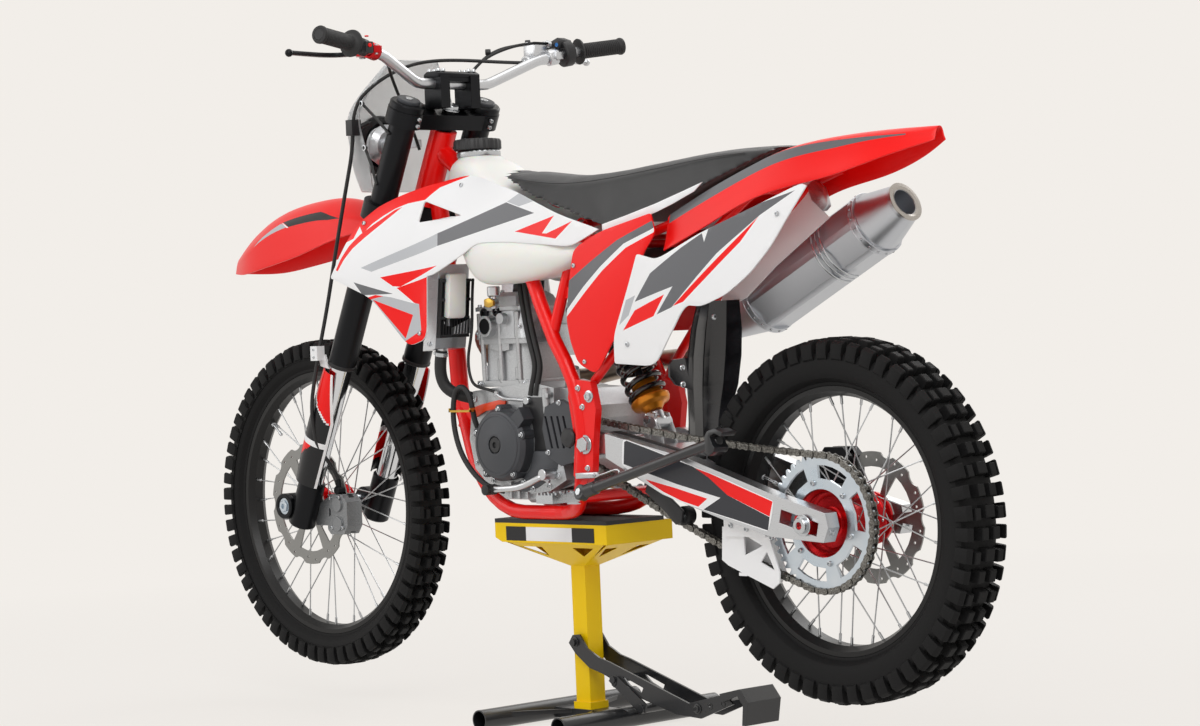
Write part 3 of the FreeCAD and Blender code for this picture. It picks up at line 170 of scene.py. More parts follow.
# Coated vinyl seat cover: a fine leather-like grain with a dull sheen.
vinyl, vinyl_shader = new_finish("grained_vinyl", "#1C1D1F", 0.52, Sheen_Weight=0.2)
cells = add_node(vinyl, "ShaderNodeTexVoronoi",
                 [("Vector", add_node(vinyl, "ShaderNodeTexCoord").outputs["Object"])],
                 Scale=900.0)
leather = add_node(vinyl, "ShaderNodeBump", [("Height", cells.outputs["Distance"])],
                   Strength=0.6, Distance=0.0003)
vinyl.links.new(leather.outputs["Normal"], vinyl_shader.inputs["Normal"])
# Anodised black aluminium: satin, with faint machining variation.
new_finish("black_anodised_aluminium", "#17181B", 0.34, 0.7, 0.8, 0.01, 0.07, edge=1.0)
# Painted rims: black with a low gloss.
new_finish("black_painted_rim", "#070708", 0.36, 0.0, 1.5, 0.01, 0.05, Specular_IOR_Level=0.35)
# Bead-blasted castings: a fine even pitting that breaks up the shine.
new_finish("blasted_cast_aluminium", "#B4B6B8", 0.42, 0.85, 1.1, 0.12, 0.08, detail=4.0,
           tones=("#A0A2A4", "#C6C8CA"), edge=2.0)
# Caliper casting: clear-coated over a darker blasted alloy.
new_finish("caliper_casting", "#86888A", 0.4, 0.7, 1.1, 0.1, 0.08, detail=4.0,
           tones=("#747678", "#989A9C"), edge=2.0)
# Dark grey enamel over cast magnesium covers.
new_finish("dark_cast_enamel", "#45474B", 0.45, 0.35, 0.9, 0.08, 0.08, detail=4.0, edge=1.8)
# Brushed tube and sheet: long fine scratches one way.
new_finish("satin_aluminium", "#C9CBCE", 0.3, 0.95, 0.6, 0.01, 0.08, stretch=(0.05, 1, 1),
           edge=1.2, Anisotropic=0.4)
new_finish("brushed_silencer_aluminium", "#C3C6CB", 0.36, 0.95, 0.7, 0.015, 0.1,
           stretch=(1, 0.04, 1))
# Zinc-plated steel: slightly blue and cloudy.
new_finish("zinc_plated_steel", "#C4CCD4", 0.28, 0.95, 70.0, 0.0, 0.05,
           tones=("#BCC8D2", "#CDD4DA"), edge=0.5)
# Brake discs, ground flat, and drawn spoke wire.
new_finish("ground_disc_steel", "#8F8F8D", 0.36, 0.95, 0.5, 0.008, 0.1)
new_finish("spoke_steel", "#C2C4C6", 0.3, 0.9, 1.0, 0.0, 0.08)
# Oiled roller chain: darker steel, uneven film of lubricant.
new_finish("oiled_chain_steel", "#6E6C68", 0.36, 0.9, 3.0, 0.02, 0.12,
           tones=("#55534F", "#8A8883"))
# Hard-chromed fork tube: mirror-like.
new_finish("hard_chrome", "#D7D9DC", 0.07, 1.0, 4.0, 0.0, 0.03)
# Stainless header, straw to brown from heat, and brushed stainless.
new_finish("heat_tinted_stainless", "#9B8F82", 0.3, 0.95, 60.0, 0.0, 0.08,
           tones=("#A39A90", "#7D6650"))
new_finish("brushed_stainless", "#B0ABA5", 0.3, 0.95, 0.8, 0.015, 0.1, stretch=(1, 0.05, 1))
# Red anodised aluminium: a metal that shines red.
new_finish("red_anodised_aluminium", "#C11219", 0.28, 0.75, 0.8, 0.01, 0.06, edge=1.0)
# Tyre tread rubber: matt and faintly mottled with release agent.
new_finish("tyre_rubber", "#070708", 0.7, 0.0, 3.0, 0.15, 0.1, detail=5.0,
           tones=("#050506", "#0F0F10"), Specular_IOR_Level=0.25)
# Extruded hose and moulded grip rubber.
new_finish("moulded_rubber", "#1B1B1C", 0.6, 0.0, 1.2, 0.05, 0.08, detail=4.0)
# Grained black polypropylene, chalky where it has been handled.
new_finish("black_polypropylene", "#1E1E20", 0.5, 0.0, 1.0, 0.06, 0.1, detail=3.0)
# Smooth moulding of the mud flap: glossy, with a faint dusty bloom.
new_finish("dusty_polypropylene", "#1B1B1D", 0.2, 0.0, 60.0, 0.0, 0.07, detail=4.0,
           tones=("#17171A", "#303034"), blend=(0.45, 0.75), Coat_Weight=0.35,
           Coat_Roughness=0.1)
# Smoke polycarbonate mask, hazy and see-through, and the clear lens of the lamp.
new_finish("smoked_polycarbonate", "#ECEEEF", 0.3, 0.0, 8.0, 0.0, 0.03, IOR=1.45,
           Transmission_Weight=0.7)
new_finish("clear_lens", "#F2F5F7", 0.03, 0.0, 8.0, 0.0, 0.01, IOR=1.5,
           Transmission_Weight=0.9)
# Satin yellow enamel on the stand, and its black powder coat.
new_finish("yellow_enamel", "#FFD400", 0.4, 0.0, 2.5, 0.04, 0.05, edge=1.5,
           Specular_IOR_Level=0.25)
new_finish("black_powder_coat", "#1B1C1F", 0.33, 0.0, 0.9, 0.05, 0.07, edge=1.5,
           Coat_Weight=0.2)
# Lacquered spring wire: smooth, deep and glossy.
new_finish("black_spring_lacquer", "#101012", 0.2, 0.0, 5.0, 0.01, 0.04, Coat_Weight=0.5)
# Bright screws, anodised fittings, brass with a clear plating, a switch's button and paint.
for metal, code, rough, shine in (("bright_screw_steel", "#BFC2C5", 0.25, 0.95),
                                  ("orange_anodised_aluminium", "#E08A1E", 0.3, 0.6),
                                  ("brass_plating", "#C9A24A", 0.3, 0.9)):
    new_finish(metal, code, rough, shine, 0.8, 0.0, 0.06)
for paint, code in (("button_plastic", "#1E6FB8"), ("orange_paint", "#E8481E")):
    new_finish(paint, code, 0.35, 0.0, 0.8, 0.0, 0.05)

# The finish of every CAD node.
NODE_FINISH = {node: finish for finish, nodes in (
    ("red_powder_coat", "main_frame subframe"),
    ("satin_aluminium", "swingarm radiators foot_controls handlebar"),
    ("red_anodised_aluminium", "rear_axle front_hub rear_hub"),
    ("oiled_chain_steel", "chain"),
    ("white_polypropylene", "chain_guide shrouds number_panels"),
    ("red_polypropylene", "side_panels rear_fender fork_guards front_fender"),
    ("black_anodised_aluminium", "shock rear_caliper triple_clamps fork_tubes hand_controls"),
    ("blasted_cast_aluminium", "engine_cases cylinder carburettor"),
    ("dark_cast_enamel", "ignition_cover sprocket_cover clutch_cover"),
    ("zinc_plated_steel", "drive_sprocket front_axle rear_sprocket"),
    ("black_polypropylene", "airbox fuel_cap"),
    ("moulded_rubber", "coolant_hoses stand_mat grips throttle_cables brake_hose"),
    ("heat_tinted_stainless", "exhaust_pipe"),
    ("brushed_silencer_aluminium", "muffler"),
    ("natural_polyethylene", "fuel_tank"),
    ("grained_vinyl", "seat"),
    ("dusty_polypropylene", "mud_flap"),
    ("bright_screw_steel", "footpegs"),
    ("yellow_enamel", "stand_top"),
    ("black_powder_coat", "stand_base stand_lever side_stand"),
    ("hard_chrome", "fork_sliders"),
    ("smoked_polycarbonate", "headlight_mask"),
    ("caliper_casting", "front_caliper"),
    ("tyre_rubber", "front_tyre rear_tyre"),
    ("black_painted_rim", "front_rim rear_rim"),
    ("ground_disc_steel", "front_disc rear_disc")) for node in nodes.split()}

# The slot of a piece in some finish, where the piece names no other.
SLOT_OF = {finish: slot for slot, finishes in (
    ("frame_paint", "red_powder_coat orange_paint orange_anodised_aluminium"),
    ("red_plastic", "red_polypropylene"),
    ("white_plastic", "white_polypropylene white_film"),
    ("tank_plastic", "natural_polyethylene"),
    ("black_plastic", "black_polypropylene button_plastic"),
    ("smoke_plastic", "smoked_polycarbonate clear_lens"),
    ("black_metal", "black_anodised_aluminium black_powder_coat"),
    ("dark_alloy", "dark_cast_enamel black_spring_lacquer"),
    ("cast_alloy", "blasted_cast_aluminium"),
    ("bright_alloy", "satin_aluminium brushed_silencer_aluminium"),
    ("steel", "bright_screw_steel zinc_plated_steel brass_plating brushed_stainless"
              " spoke_steel"),
    ("chain_steel", "oiled_chain_steel"), ("chrome", "hard_chrome"),
    ("hub_red", "red_anodised_aluminium"), ("rubber", "moulded_rubber"),
    ("tyre", "tyre_rubber"), ("seat_cover", "grained_vinyl")) for finish in finishes.split()}


# Mesh helpers

def linked(name, data):
    """A new object in the scene."""
    obj = bpy.data.objects.new(name, data)
    bpy.context.scene.collection.objects.link(obj)
    return obj


def fitted(name, data, finish, body, slot):
    """A piece that rides on a body; its slot, the one it names or else its finish's own, is looked
    up but not given to it.
    """
    obj = linked(name, data)
    slot = slot or SLOT_OF[finish]
    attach(obj, body)
    return obj


def place(name, verts, faces, finish, body, slot=None):
    """A finished piece from points in millimetres, riding on a body."""
    mesh = bpy.data.meshes.new(name)
    mesh.from_pydata([at(*v) for v in verts], [], faces)
    mesh.validate()
    mesh.materials.append(MATERIALS[finish])
    for polygon in mesh.polygons:
        polygon.use_smooth = True
    return fitted(name, mesh, finish, body, slot)


def modified(obj, name, kind, **settings):
    """Gives a piece a modifier."""
    mod = obj.modifiers.new(name, kind)
    for key, value in settings.items():
        setattr(mod, key, value)
    return obj


def bevelled(obj, width_mm, segments=2, angle=35):
    """Rounds a piece's sharp edges for real."""
    return modified(obj, "edges", "BEVEL", width=width_mm / 1000, segments=segments,
                    limit_method="ANGLE", angle_limit=math.radians(angle),
                    harden_normals=False)


def without_loose(obj):
    """Takes away the points that no face of a piece uses."""
    work = bmesh.new()
    work.from_mesh(obj.data)
    bmesh.ops.delete(work, geom=[v for v in work.verts if not v.link_faces], context="VERTS")
    work.to_mesh(obj.data)
    work.free()


def evaluated(obj, name, crease):
    """The mesh that a piece's modifiers make of it, smooth between its sharp edges."""
    graph = bpy.context.evaluated_depsgraph_get()
    mesh = bpy.data.meshes.new_from_object(obj.evaluated_get(graph))
    mesh.name = name
    obj.modifiers.clear()
    for polygon in mesh.polygons:
        polygon.use_smooth = True
    mesh.set_sharp_from_angle(angle=math.radians(crease))
    return mesh


def finished(obj, crease=32):
    """Applies a piece's modifiers for good and keeps its sharp edges sharp."""
    obj.data = evaluated(obj, obj.name, crease)
    return obj


def merged(parts):
    """One list of vertices and one of faces from several of each."""
    verts, faces = [], []
    for more, sides in parts:
        faces += [tuple(k + len(verts) for k in side) for side in sides]
        verts += list(more)
    return verts, faces


def between(rings, count):
    """Faces between closed rings of as many points each, one ring after another."""
    return [(n * count + k, n * count + (k + 1) % count, (n + 1) * count + (k + 1) % count,
             (n + 1) * count + k) for n in range(rings - 1) for k in range(count)]


def prism(outline, near, far, axis=1):
    """Vertices and faces of a flat outline drawn out along an axis."""
    count = len(outline)
    verts = [(*point[:axis], depth, *point[axis:]) for depth in (near, far) for point in outline]
    faces = [tuple(range(count)), tuple(reversed(range(count, 2 * count)))]
    faces += [(k, k + count, (k + 1) % count + count, (k + 1) % count) for k in range(count)]
    return verts, faces


def slab(name, outline, y0, y1, finish, body, bevel=1.5, slot=None):
    """A plate from its side-view outline, between two widths, with rounded edges."""
    obj = outward(place(name, *prism(outline, y0, y1), finish, body, slot))
    if bevel:
        bevelled(obj, bevel, 2, 25)
    return finished(obj)


def outward(obj):
    """Turns every face of a closed piece outwards."""
    work = bmesh.new()
    work.from_mesh(obj.data)
    bmesh.ops.remove_doubles(work, verts=work.verts, dist=1e-6)
    bmesh.ops.recalc_face_normals(work, faces=work.faces)
    work.to_mesh(obj.data)
    work.free()
    return obj


def lathe_points(profile, segments, spot, axis):
    """Vertices and faces of a (radius, distance) profile turned round an axis."""
    axis = Vector(axis).normalized()
    side = axis.orthogonal().normalized()
    up = axis.cross(side)
    spot = Vector(spot)
    verts, faces = [], []
    count = len(profile)
    for k in range(segments):
        turn = 2 * math.pi * k / segments
        ray = side * math.cos(turn) + up * math.sin(turn)
        verts += [spot + axis * y + ray * r for r, y in profile]
    for k in range(segments):
        a, b = k * count, (k + 1) % segments * count
        for j in range(count):
            i = (j + 1) % count
            faces.append((a + j, a + i, b + i, b + j))
    return verts, faces


def lathe(name, profile, spot, axis, finish, body, segments=64, bevel=0.0, slot=None):
    """A turned piece."""
    obj = outward(place(name, *lathe_points(profile, segments, spot, axis), finish, body, slot))
    if bevel:
        bevelled(obj, bevel, 2, 30)
    return finished(obj)


def joined(name, parts, finish, body, crease=32, slot=None):
    """One piece from several lists of vertices and faces."""
    return finished(outward(place(name, *merged(parts), finish, body, slot)), crease)


def drum(start, end, radius, segments=20, chamfer=0.0):
    """Vertices and faces of a round bar between two points, its ends chamfered."""
    start, end = Vector(start), Vector(end)
    length = (end - start).length
    profile = [(0.001, 0), (radius - chamfer, 0), (radius, chamfer), (radius, length - chamfer),
               (radius - chamfer, length), (0.001, length)]
    return lathe_points(profile, segments, start, end - start)


def fork_round(side, near, far, radius, segments, chamfer):
    """Vertices and faces of a round on one fork leg, between two places down its axis."""
    return drum(on_fork(near, side * FORK_SPREAD), on_fork(far, side * FORK_SPREAD), radius,
                segments, chamfer)


def pipe(name, points, radius, finish, body, sides=5, slot=None):
    """A smooth hose, wire or bent tube through its route's control points."""
    data = bpy.data.curves.new(name, "CURVE")
    data.dimensions = "3D"
    data.bevel_depth = radius / 1000
    data.bevel_resolution = sides
    data.use_fill_caps = True
    data.resolution_u = 10
    line = data.splines.new("NURBS")
    line.points.add(len(points) - 1)
    for point, spot in zip(line.points, points):
        point.co = (*at(*spot), 1.0)
    line.order_u = 4
    line.use_endpoint_u = True
    data.materials.append(MATERIALS[finish])
    return fitted(name, data, finish, body, slot)


# Smooth walls and the panels cut from them

def natural(knots, values):
    """A natural cubic spline through values at their knots, as a function."""
    xs, ys = np.array(knots, float), np.array(values, float)
    steps = np.diff(xs)
    count = len(xs)
    matrix, right = np.eye(count), np.zeros(count)
    for k in range(1, count - 1):
        matrix[k, k - 1:k + 2] = steps[k - 1], 2 * (steps[k - 1] + steps[k]), steps[k]
        right[k] = 6 * ((ys[k + 1] - ys[k]) / steps[k] - (ys[k] - ys[k - 1]) / steps[k - 1])
    bend = np.linalg.solve(matrix, right)

    def value(x):
        k = int(np.clip(np.searchsorted(xs, x) - 1, 0, count - 2))
        t, step = x - xs[k], steps[k]
        slope = (ys[k + 1] - ys[k]) / step - step * (2 * bend[k] + bend[k + 1]) / 6
        return float(ys[k] + t * slope + t * t * bend[k] / 2
                     + t ** 3 * (bend[k + 1] - bend[k]) / (6 * step))
    return value


def wall_depth(heights, rows):
    """Width of a curved wall from the bike's middle, as a function of x and z."""
    rows = sorted(rows)
    columns = [natural(heights, widths) for _, widths in rows]
    stations = [x for x, _ in rows]

    def depth(x, z):
        return natural(stations, [column(z) for column in columns])(x)
    return depth


def eased(outline, share=0.3):
    """An outline with its corners rounded off."""
    points = [Vector(p) for p in outline]
    soft = []
    for k, corner in enumerate(points):
        before, after = points[k - 1] - corner, points[(k + 1) % len(points)] - corner
        sharp = before.angle(after) < math.radians(105)
        reach = 5 if sharp else 26
        start = corner + before.normalized() * min(before.length * share, reach)
        end = corner + after.normalized() * min(after.length * share, reach)
        for t in (0.0, 0.25, 0.5, 0.75, 1.0):
            soft.append(start * (1 - t) ** 2 + corner * 2 * t * (1 - t) + end * t * t)
    return soft


def contains(polygon, x, z):
    """Whether a point lies inside a polygon."""
    inside = False
    for k in range(len(polygon)):
        (x0, z0), (x1, z1) = polygon[k - 1], polygon[k]
        if (z0 > z) != (z1 > z) and x < (x1 - x0) * (z - z0) / (z1 - z0) + x0:
            inside = not inside
    return inside


def largest_piece(faces):
    """The faces of the biggest connected part."""
    parent = {}

    def root(a):
        while parent.setdefault(a, a) != a:
            a = parent[a]
        return a
    for face in faces:
        for k in range(len(face)):
            parent[root(face[k - 1])] = root(face[k])
    groups = {}
    for face in faces:
        groups.setdefault(root(face[0]), []).append(face)
    return max(groups.values(), key=len)


def divided(loop, step):
    """A closed outline with points added along its long sides."""
    fine = []
    for k, end in enumerate(loop):
        start = Vector(loop[k - 1])
        way = Vector(end) - start
        parts = max(1, int(way.length / step))
        fine += [tuple(start + way * (j + 1) / parts) for j in range(parts)]
    return fine


def panel(name, depth, outline, base, body, wall=3.0, side=1, inks=(), holes=(), step=13,
          proud=0.0, soften=True, edge=0.8, surface=None, slot=None):
    """A moulded panel cut from a curved wall, each graphic in its own finish."""
    border = [tuple(p) for p in (eased(outline) if soften else divided(outline, step))]
    loops = [border] + [list(hole) for hole in holes]
    loops += [divided(shape, step) for _, shape in inks]
    if surface is None:
        def surface(x, z):
            return x, side * (depth(x, z) + proud), z
    points, edges = [], []
    for loop in loops:
        first = len(points)
        points += [Vector(p) for p in loop]
        edges += [(first + k, first + (k + 1) % len(loop)) for k in range(len(loop))]
    xs, zs = [p[0] for p in border], [p[1] for p in border]
    for i in range(int((max(xs) - min(xs)) / step) + 1):
        for j in range(int((max(zs) - min(zs)) / step) + 1):
            x, z = min(xs) + (i + 0.5 * (j % 2)) * step, min(zs) + j * step
            if contains(border, x, z):
                points.append(Vector((x, z)))
    flat, _, triangles, _, _, _ = delaunay_2d_cdt(points, edges, [], 0, 1e-4)
    kept = []
    for triangle in triangles:
        x = sum(flat[k][0] for k in triangle) / 3
        z = sum(flat[k][1] for k in triangle) / 3
        if contains(border, x, z) and not any(contains(hole, x, z) for hole in holes):
            kept.append(tuple(triangle))
    kept = largest_piece(kept)
    used = sorted({k for face in kept for k in face})
    index = {k: n for n, k in enumerate(used)}
    spots = [flat[k] for k in used]
    verts = [surface(*spot) for spot in spots]
    faces = [tuple(index[k] for k in (face if side < 0 else reversed(face))) for face in kept]
    obj = place(name, verts, faces, base, body, slot)
    mesh = obj.data
    finishes = [base]
    for finish, _ in inks:
        if finish not in finishes:
            finishes.append(finish)
            mesh.materials.append(MATERIALS[finish])
    for polygon in mesh.polygons:
        x = sum(spots[k][0] for k in polygon.vertices) / 3
        z = sum(spots[k][1] for k in polygon.vertices) / 3
        for finish, shape in inks:
            if contains(shape, x, z):
                polygon.material_index = finishes.index(finish)
    modified(obj, "wall", "SOLIDIFY", thickness=wall / 1000, offset=-1.0,
             material_offset=-len(finishes), material_offset_rim=-len(finishes))
    if edge:
        bevelled(obj, edge, 2, 50)
    return finished(obj, 40)


def panel_pair(name, depth, outline, base, wall, inks=(), left=(), right=(), **settings):
    """A panel on each side of the bike, with its own holes; returns the left one."""
    pieces = [panel(name + end, depth, outline, base, "frame", wall, side, inks, holes,
                    **settings)
              for side, end, holes in ((1, "_left", left), (-1, "_right", right))]
    return pieces[0]


# Geometry Nodes for what repeats

def new_tree(name, sockets):
    """An empty Geometry Nodes tree with its named inputs."""
    tree = bpy.data.node_groups.new(name, "GeometryNodeTree")
    tree.interface.new_socket("Geometry", in_out="INPUT", socket_type="NodeSocketGeometry")
    for label, kind, value in sockets:
        socket = tree.interface.new_socket(label, in_out="INPUT", socket_type=kind)
        if value is not None:
            socket.default_value = value
    tree.interface.new_socket("Geometry", in_out="OUTPUT", socket_type="NodeSocketGeometry")
    return tree


def painted_copies(tree, given, links):
    """Ends a tree: its source at every point, made real and given its finish."""
    shape = add_node(tree, "GeometryNodeObjectInfo", [("Object", given.outputs["Source"])])
    copies = add_node(tree, "GeometryNodeInstanceOnPoints",
                      [("Instance", shape.outputs["Geometry"])] + links)
    real = add_node(tree, "GeometryNodeRealizeInstances", [("Geometry", copies.outputs[0])])
    painted = add_node(tree, "GeometryNodeSetMaterial",
                       [("Geometry", real.outputs[0]), ("Material", given.outputs["Finish"])])
    add_node(tree, "NodeGroupOutput", [("Geometry", painted.outputs[0])])
    return tree


def copies_tree():
    """Copies of one shape at points, each turned as its point says."""
    tree = new_tree("copies_at_points", (("Source", "NodeSocketObject", None),
                                         ("Finish", "NodeSocketMaterial", None)))
    given = add_node(tree, "NodeGroupInput")
    turn = add_node(tree, "GeometryNodeInputNamedAttribute", data_type="FLOAT_VECTOR",
                    Name="turn")
    euler = add_node(tree, "FunctionNodeEulerToRotation", [("Euler", turn.outputs[0])])
    return painted_copies(tree, given, [("Points", given.outputs["Geometry"]),
                                        ("Rotation", euler.outputs[0])])


def ring_tree():
    """Copies of one shape round a wheel's axle."""
    tree = new_tree("ring_of_copies", (("Source", "NodeSocketObject", None),
                                       ("Count", "NodeSocketInt", 36),
                                       ("Axle", "NodeSocketVector", None),
                                       ("Phase", "NodeSocketFloat", 0.0),
                                       ("Finish", "NodeSocketMaterial", None)))
    given = add_node(tree, "NodeGroupInput")
    spots = add_node(tree, "GeometryNodePoints", [("Count", given.outputs["Count"]),
                                                  ("Position", given.outputs["Axle"])])
    index = add_node(tree, "GeometryNodeInputIndex")
    step = add_node(tree, "ShaderNodeMath", [(1, given.outputs["Count"])], operation="DIVIDE")
    step.inputs[0].default_value = 2 * math.pi
    angle = add_node(tree, "ShaderNodeMath",
                     [(0, index.outputs[0]), (1, step.outputs[0]),
                      (2, given.outputs["Phase"])], operation="MULTIPLY_ADD")
    turn = add_node(tree, "ShaderNodeCombineXYZ", [("Y", angle.outputs[0])])
    euler = add_node(tree, "FunctionNodeEulerToRotation", [("Euler", turn.outputs[0])])
    return painted_copies(tree, given, [("Points", spots.outputs[0]),
                                        ("Rotation", euler.outputs[0])])


def bare(name, verts, faces=()):
    """An unplaced helper mesh in metres, from millimetres round the origin."""
    mesh = bpy.data.meshes.new(name)
    mesh.from_pydata([Vector(v) * 0.001 for v in verts], [], list(faces))
    obj = linked(name, mesh)
    return outward(obj) if faces else obj


def grown(name, carrier, tree, values, finish, body, slot):
    """Runs a tree on a carrier and keeps its result as a plain piece."""
    mod = carrier.modifiers.new("copies", "NODES")
    mod.node_group = tree
    values["Finish"] = MATERIALS[finish]
    for item in tree.interface.items_tree:
        if item.in_out == "INPUT" and item.name in values:
            mod[item.identifier] = values[item.name]
    mesh = evaluated(carrier, name, 32)
    for spent in (carrier, values["Source"]):
        bpy.data.objects.remove(spent)
    return fitted(name, mesh, finish, body, slot)


def ring(name, source, count, centre, finish, body, phase=0.0, slot=None):
    """Copies of a shape, drawn round the axle, turned about it."""
    return grown(name, bare("carrier", [(0, 0, 0)]), ring_tree(),
                 {"Source": source, "Count": count, "Axle": tuple(at(*centre)), "Phase": phase},
                 finish, body, slot)


def copies(name, source, spots, finish, body, slot=None):
    """Copies of a shape at places in millimetres, each with its own turn."""
    mesh = bpy.data.meshes.new("spots")
    mesh.from_pydata([at(*spot) for spot, _ in spots], [], [])
    turns = mesh.attributes.new("turn", "FLOAT_VECTOR", "POINT")
    for k, (_, turn) in enumerate(spots):
        turns.data[k].vector = turn
    return grown(name, linked("spots", mesh), copies_tree(), {"Source": source}, finish, body,
                 slot)


def turned(segments, *profile):
    """Vertices and faces of a profile turned about +Z."""
    return lathe_points(profile, segments, (0, 0, 0), (0, 0, 1))


def hex_screw(radius, height):
    """A flanged hexagon screw head, its axis along +Z."""
    return bare("screw", *merged([
        turned(16, (0.01, 0), (radius * 1.35, 0), (radius * 1.35, height * 0.22),
               (radius * 1.05, height * 0.34), (0.01, height * 0.34)),
        turned(6, (0.01, height * 0.3), (radius, height * 0.3), (radius, height * 0.9),
               (radius * 0.86, height), (radius * 0.5, height),
               (radius * 0.45, height * 0.8), (0.01, height * 0.8))]))


def round_screw(radius, height):
    """A button-head screw with a six-sided socket, its axis along +Z."""
    return bare("screw", *turned(
        12, (0.01, 0), (radius, 0), (radius, height * 0.3), (radius * 0.8, height * 0.85),
        (radius * 0.5, height), (radius * 0.46, height * 0.45), (0.01, height * 0.45)))


def screws(name, spots, radius, height, body="frame", finish="bright_screw_steel",
           hexagon=False, slot=None):
    """Screw heads at places in millimetres, each facing its own way."""
    spots = [(spot, Vector(way).to_track_quat("Z", "Y").to_euler()) for spot, way in spots]
    source = hex_screw(radius, height) if hexagon else round_screw(radius, height)
    return copies(name, source, spots, finish, body, slot)


def bolt_circle(count, radius, centre, way=1, start=0.0):
    """Places round a point in the side view, all facing one side."""
    spots = []
    for k in range(count):
        turn = 2 * math.pi * k / count + start
        spots.append(((centre[0] + radius * math.cos(turn), centre[1],
                       centre[2] + radius * math.sin(turn)), (0, way, 0)))
    return spots


def both_sides(spots):
    """Places and directions, and the same mirrored to the other side."""
    return list(spots) + [((x, -y, z), (a, -b, c)) for (x, y, z), (a, b, c) in spots]


def swept(points, radius, sides=10):
    """Vertices and faces of a round wire along many points, its ends closed."""
    points = [Vector(point) for point in points]
    verts, side = [], None
    for k, spot in enumerate(points):
        ahead = (points[min(k + 1, len(points) - 1)] - points[max(k - 1, 0)]).normalized()
        side = ahead.orthogonal() if side is None else side
        side = (side - ahead * side.dot(ahead)).normalized()
        up = ahead.cross(side)
        for j in range(sides):
            turn = 2 * math.pi * j / sides
            verts.append(spot + (side * math.cos(turn) + up * math.sin(turn)) * radius)
    return verts, between(len(points), sides) + [
        tuple(range(sides)), tuple(range(len(verts) - sides, len(verts)))]


def curved(points, steps=10):
    """Points on a natural spline through a few given ones."""
    marks = np.concatenate(([0.0], np.cumsum([(Vector(b) - Vector(a)).length
                                              for a, b in zip(points, points[1:])])))
    lines = [natural(marks, [point[axis] for point in points]) for axis in range(3)]
    return [tuple(line(mark) for line in lines)
            for mark in np.linspace(0, marks[-1], steps * (len(points) - 1) + 1)]


def brick(low, high):
    """Vertices and faces of a box between two corners."""
    (x0, y0, z0), (x1, y1, z1) = low, high
    verts = [(x, y, z) for x in (x0, x1) for y in (y0, y1) for z in (z0, z1)]
    return verts, [(0, 1, 3, 2), (4, 6, 7, 5), (0, 4, 5, 1), (2, 3, 7, 6), (0, 2, 6, 4),
        (1, 5, 7, 3)]


def clip_band(spot, way, radius):
    """A worm-drive hose clip: the band and its screw housing."""
    spot, way = Vector(spot), Vector(way).normalized()
    side = way.cross(Vector((0, 0, 1)) if abs(way.z) < 0.8 else Vector((0, 1, 0))).normalized()
    end = spot + way * 8
    middle = (spot + end) / 2 + side * (radius + 3)
    across = way.cross(side)
    return [drum(spot, end, radius, 32, 0.5),
            drum(middle - across * 6, middle + across * 6, 3.6, 8, 0.6)]


def blade(points, widths, z0, z1):
    """Vertices and faces of a lever blade in plan, along points with half widths."""
    line = curved([(x, y, 0.0) for x, y in points], 6)
    half = natural(np.linspace(0, 1, len(widths)), widths)
    left, right = [], []
    for k, spot in enumerate(line):
        ahead = (Vector(line[min(k + 1, len(line) - 1)]) - Vector(line[max(k - 1,
            0)])).normalized()
        side = Vector((-ahead.y, ahead.x, 0)) * half(k / (len(line) - 1))
        left.append(tuple((Vector(spot) + side)[:2]))
        right.append(tuple((Vector(spot) - side)[:2]))
    return prism(left + right[::-1], z0, z1, 2)


def ball(spot, radius):
    """Vertices and faces of a round knob."""
    profile = [(max(radius * math.cos(a), 0.01), radius * math.sin(a))
               for a in np.linspace(-math.pi / 2, math.pi / 2, 11)]
    return lathe_points(profile, 20, spot, (0, 0, 1))


# Stage

def colour_setting(label, about, code):
    """A colour that a user can change."""
    return bpy.props.FloatVectorProperty(name=label, description=about, subtype="COLOR",
                                         default=linear(code)[:3], size=3)


def angle_setting(label, about, degrees):
    """An angle that a user can change."""
    return bpy.props.FloatProperty(name=label, description=about, unit="ROTATION",
                                   default=math.radians(degrees))


class BikeView(bpy.types.PropertyGroup):
    """Where the camera stands, and how long its lens is."""
    azimuth: angle_setting("Azimuth", "Camera's turn round the bike", 46.884)
    elevation: angle_setting("Elevation", "Camera's rise", 0.849)
    roll: angle_setting("Roll", "Tilt of the picture", -2.494)
    lens: bpy.props.FloatProperty(name="Lens", description="Focal length on a 36 mm sensor",
                                  default=92.64, unit="CAMERA")
    backdrop: colour_setting("Backdrop", "Colour behind the bike", "#F2EEE9")


class BikeColours(bpy.types.PropertyGroup):
    """The three paint and plastic colours that a user would change."""
    red: colour_setting("Red", "Frame, plastics and films", "#FA0905")
    white: colour_setting("White", "Plastics and films", "#F6F6F6")
    stand: colour_setting("Stand", "Enamel of the lift stand", "#FFD400")


class BikeTread(bpy.types.PropertyGroup):
    """How the knobbly tread is cut."""
    front_rows: bpy.props.IntProperty(name="Front rows", default=30, min=12, max=60,
                                      description="Times the front tyre's pattern repeats")
    rear_rows: bpy.props.IntProperty(name="Rear rows", default=27, min=12, max=60,
                                     description="Times the rear tyre's pattern repeats")
    depth: bpy.props.FloatProperty(name="Lug height", default=0.017, min=0.005, max=0.02,
                                   description="Height of the lugs over the carcass",
                                   unit="LENGTH")


def backdrop_ray(tree):
    """1 where the camera, a mirror or glass sees the surface, 0 where light bounces off it."""
    path = add_node(tree, "ShaderNodeLightPath")
    total = path.outputs["Is Camera Ray"]
    for name in ("Is Glossy Ray", "Is Transmission Ray"):
        total = add_node(tree, "ShaderNodeMath", [(0, total), (1, path.outputs[name])],
                         operation="MAXIMUM").outputs[0]
    return total


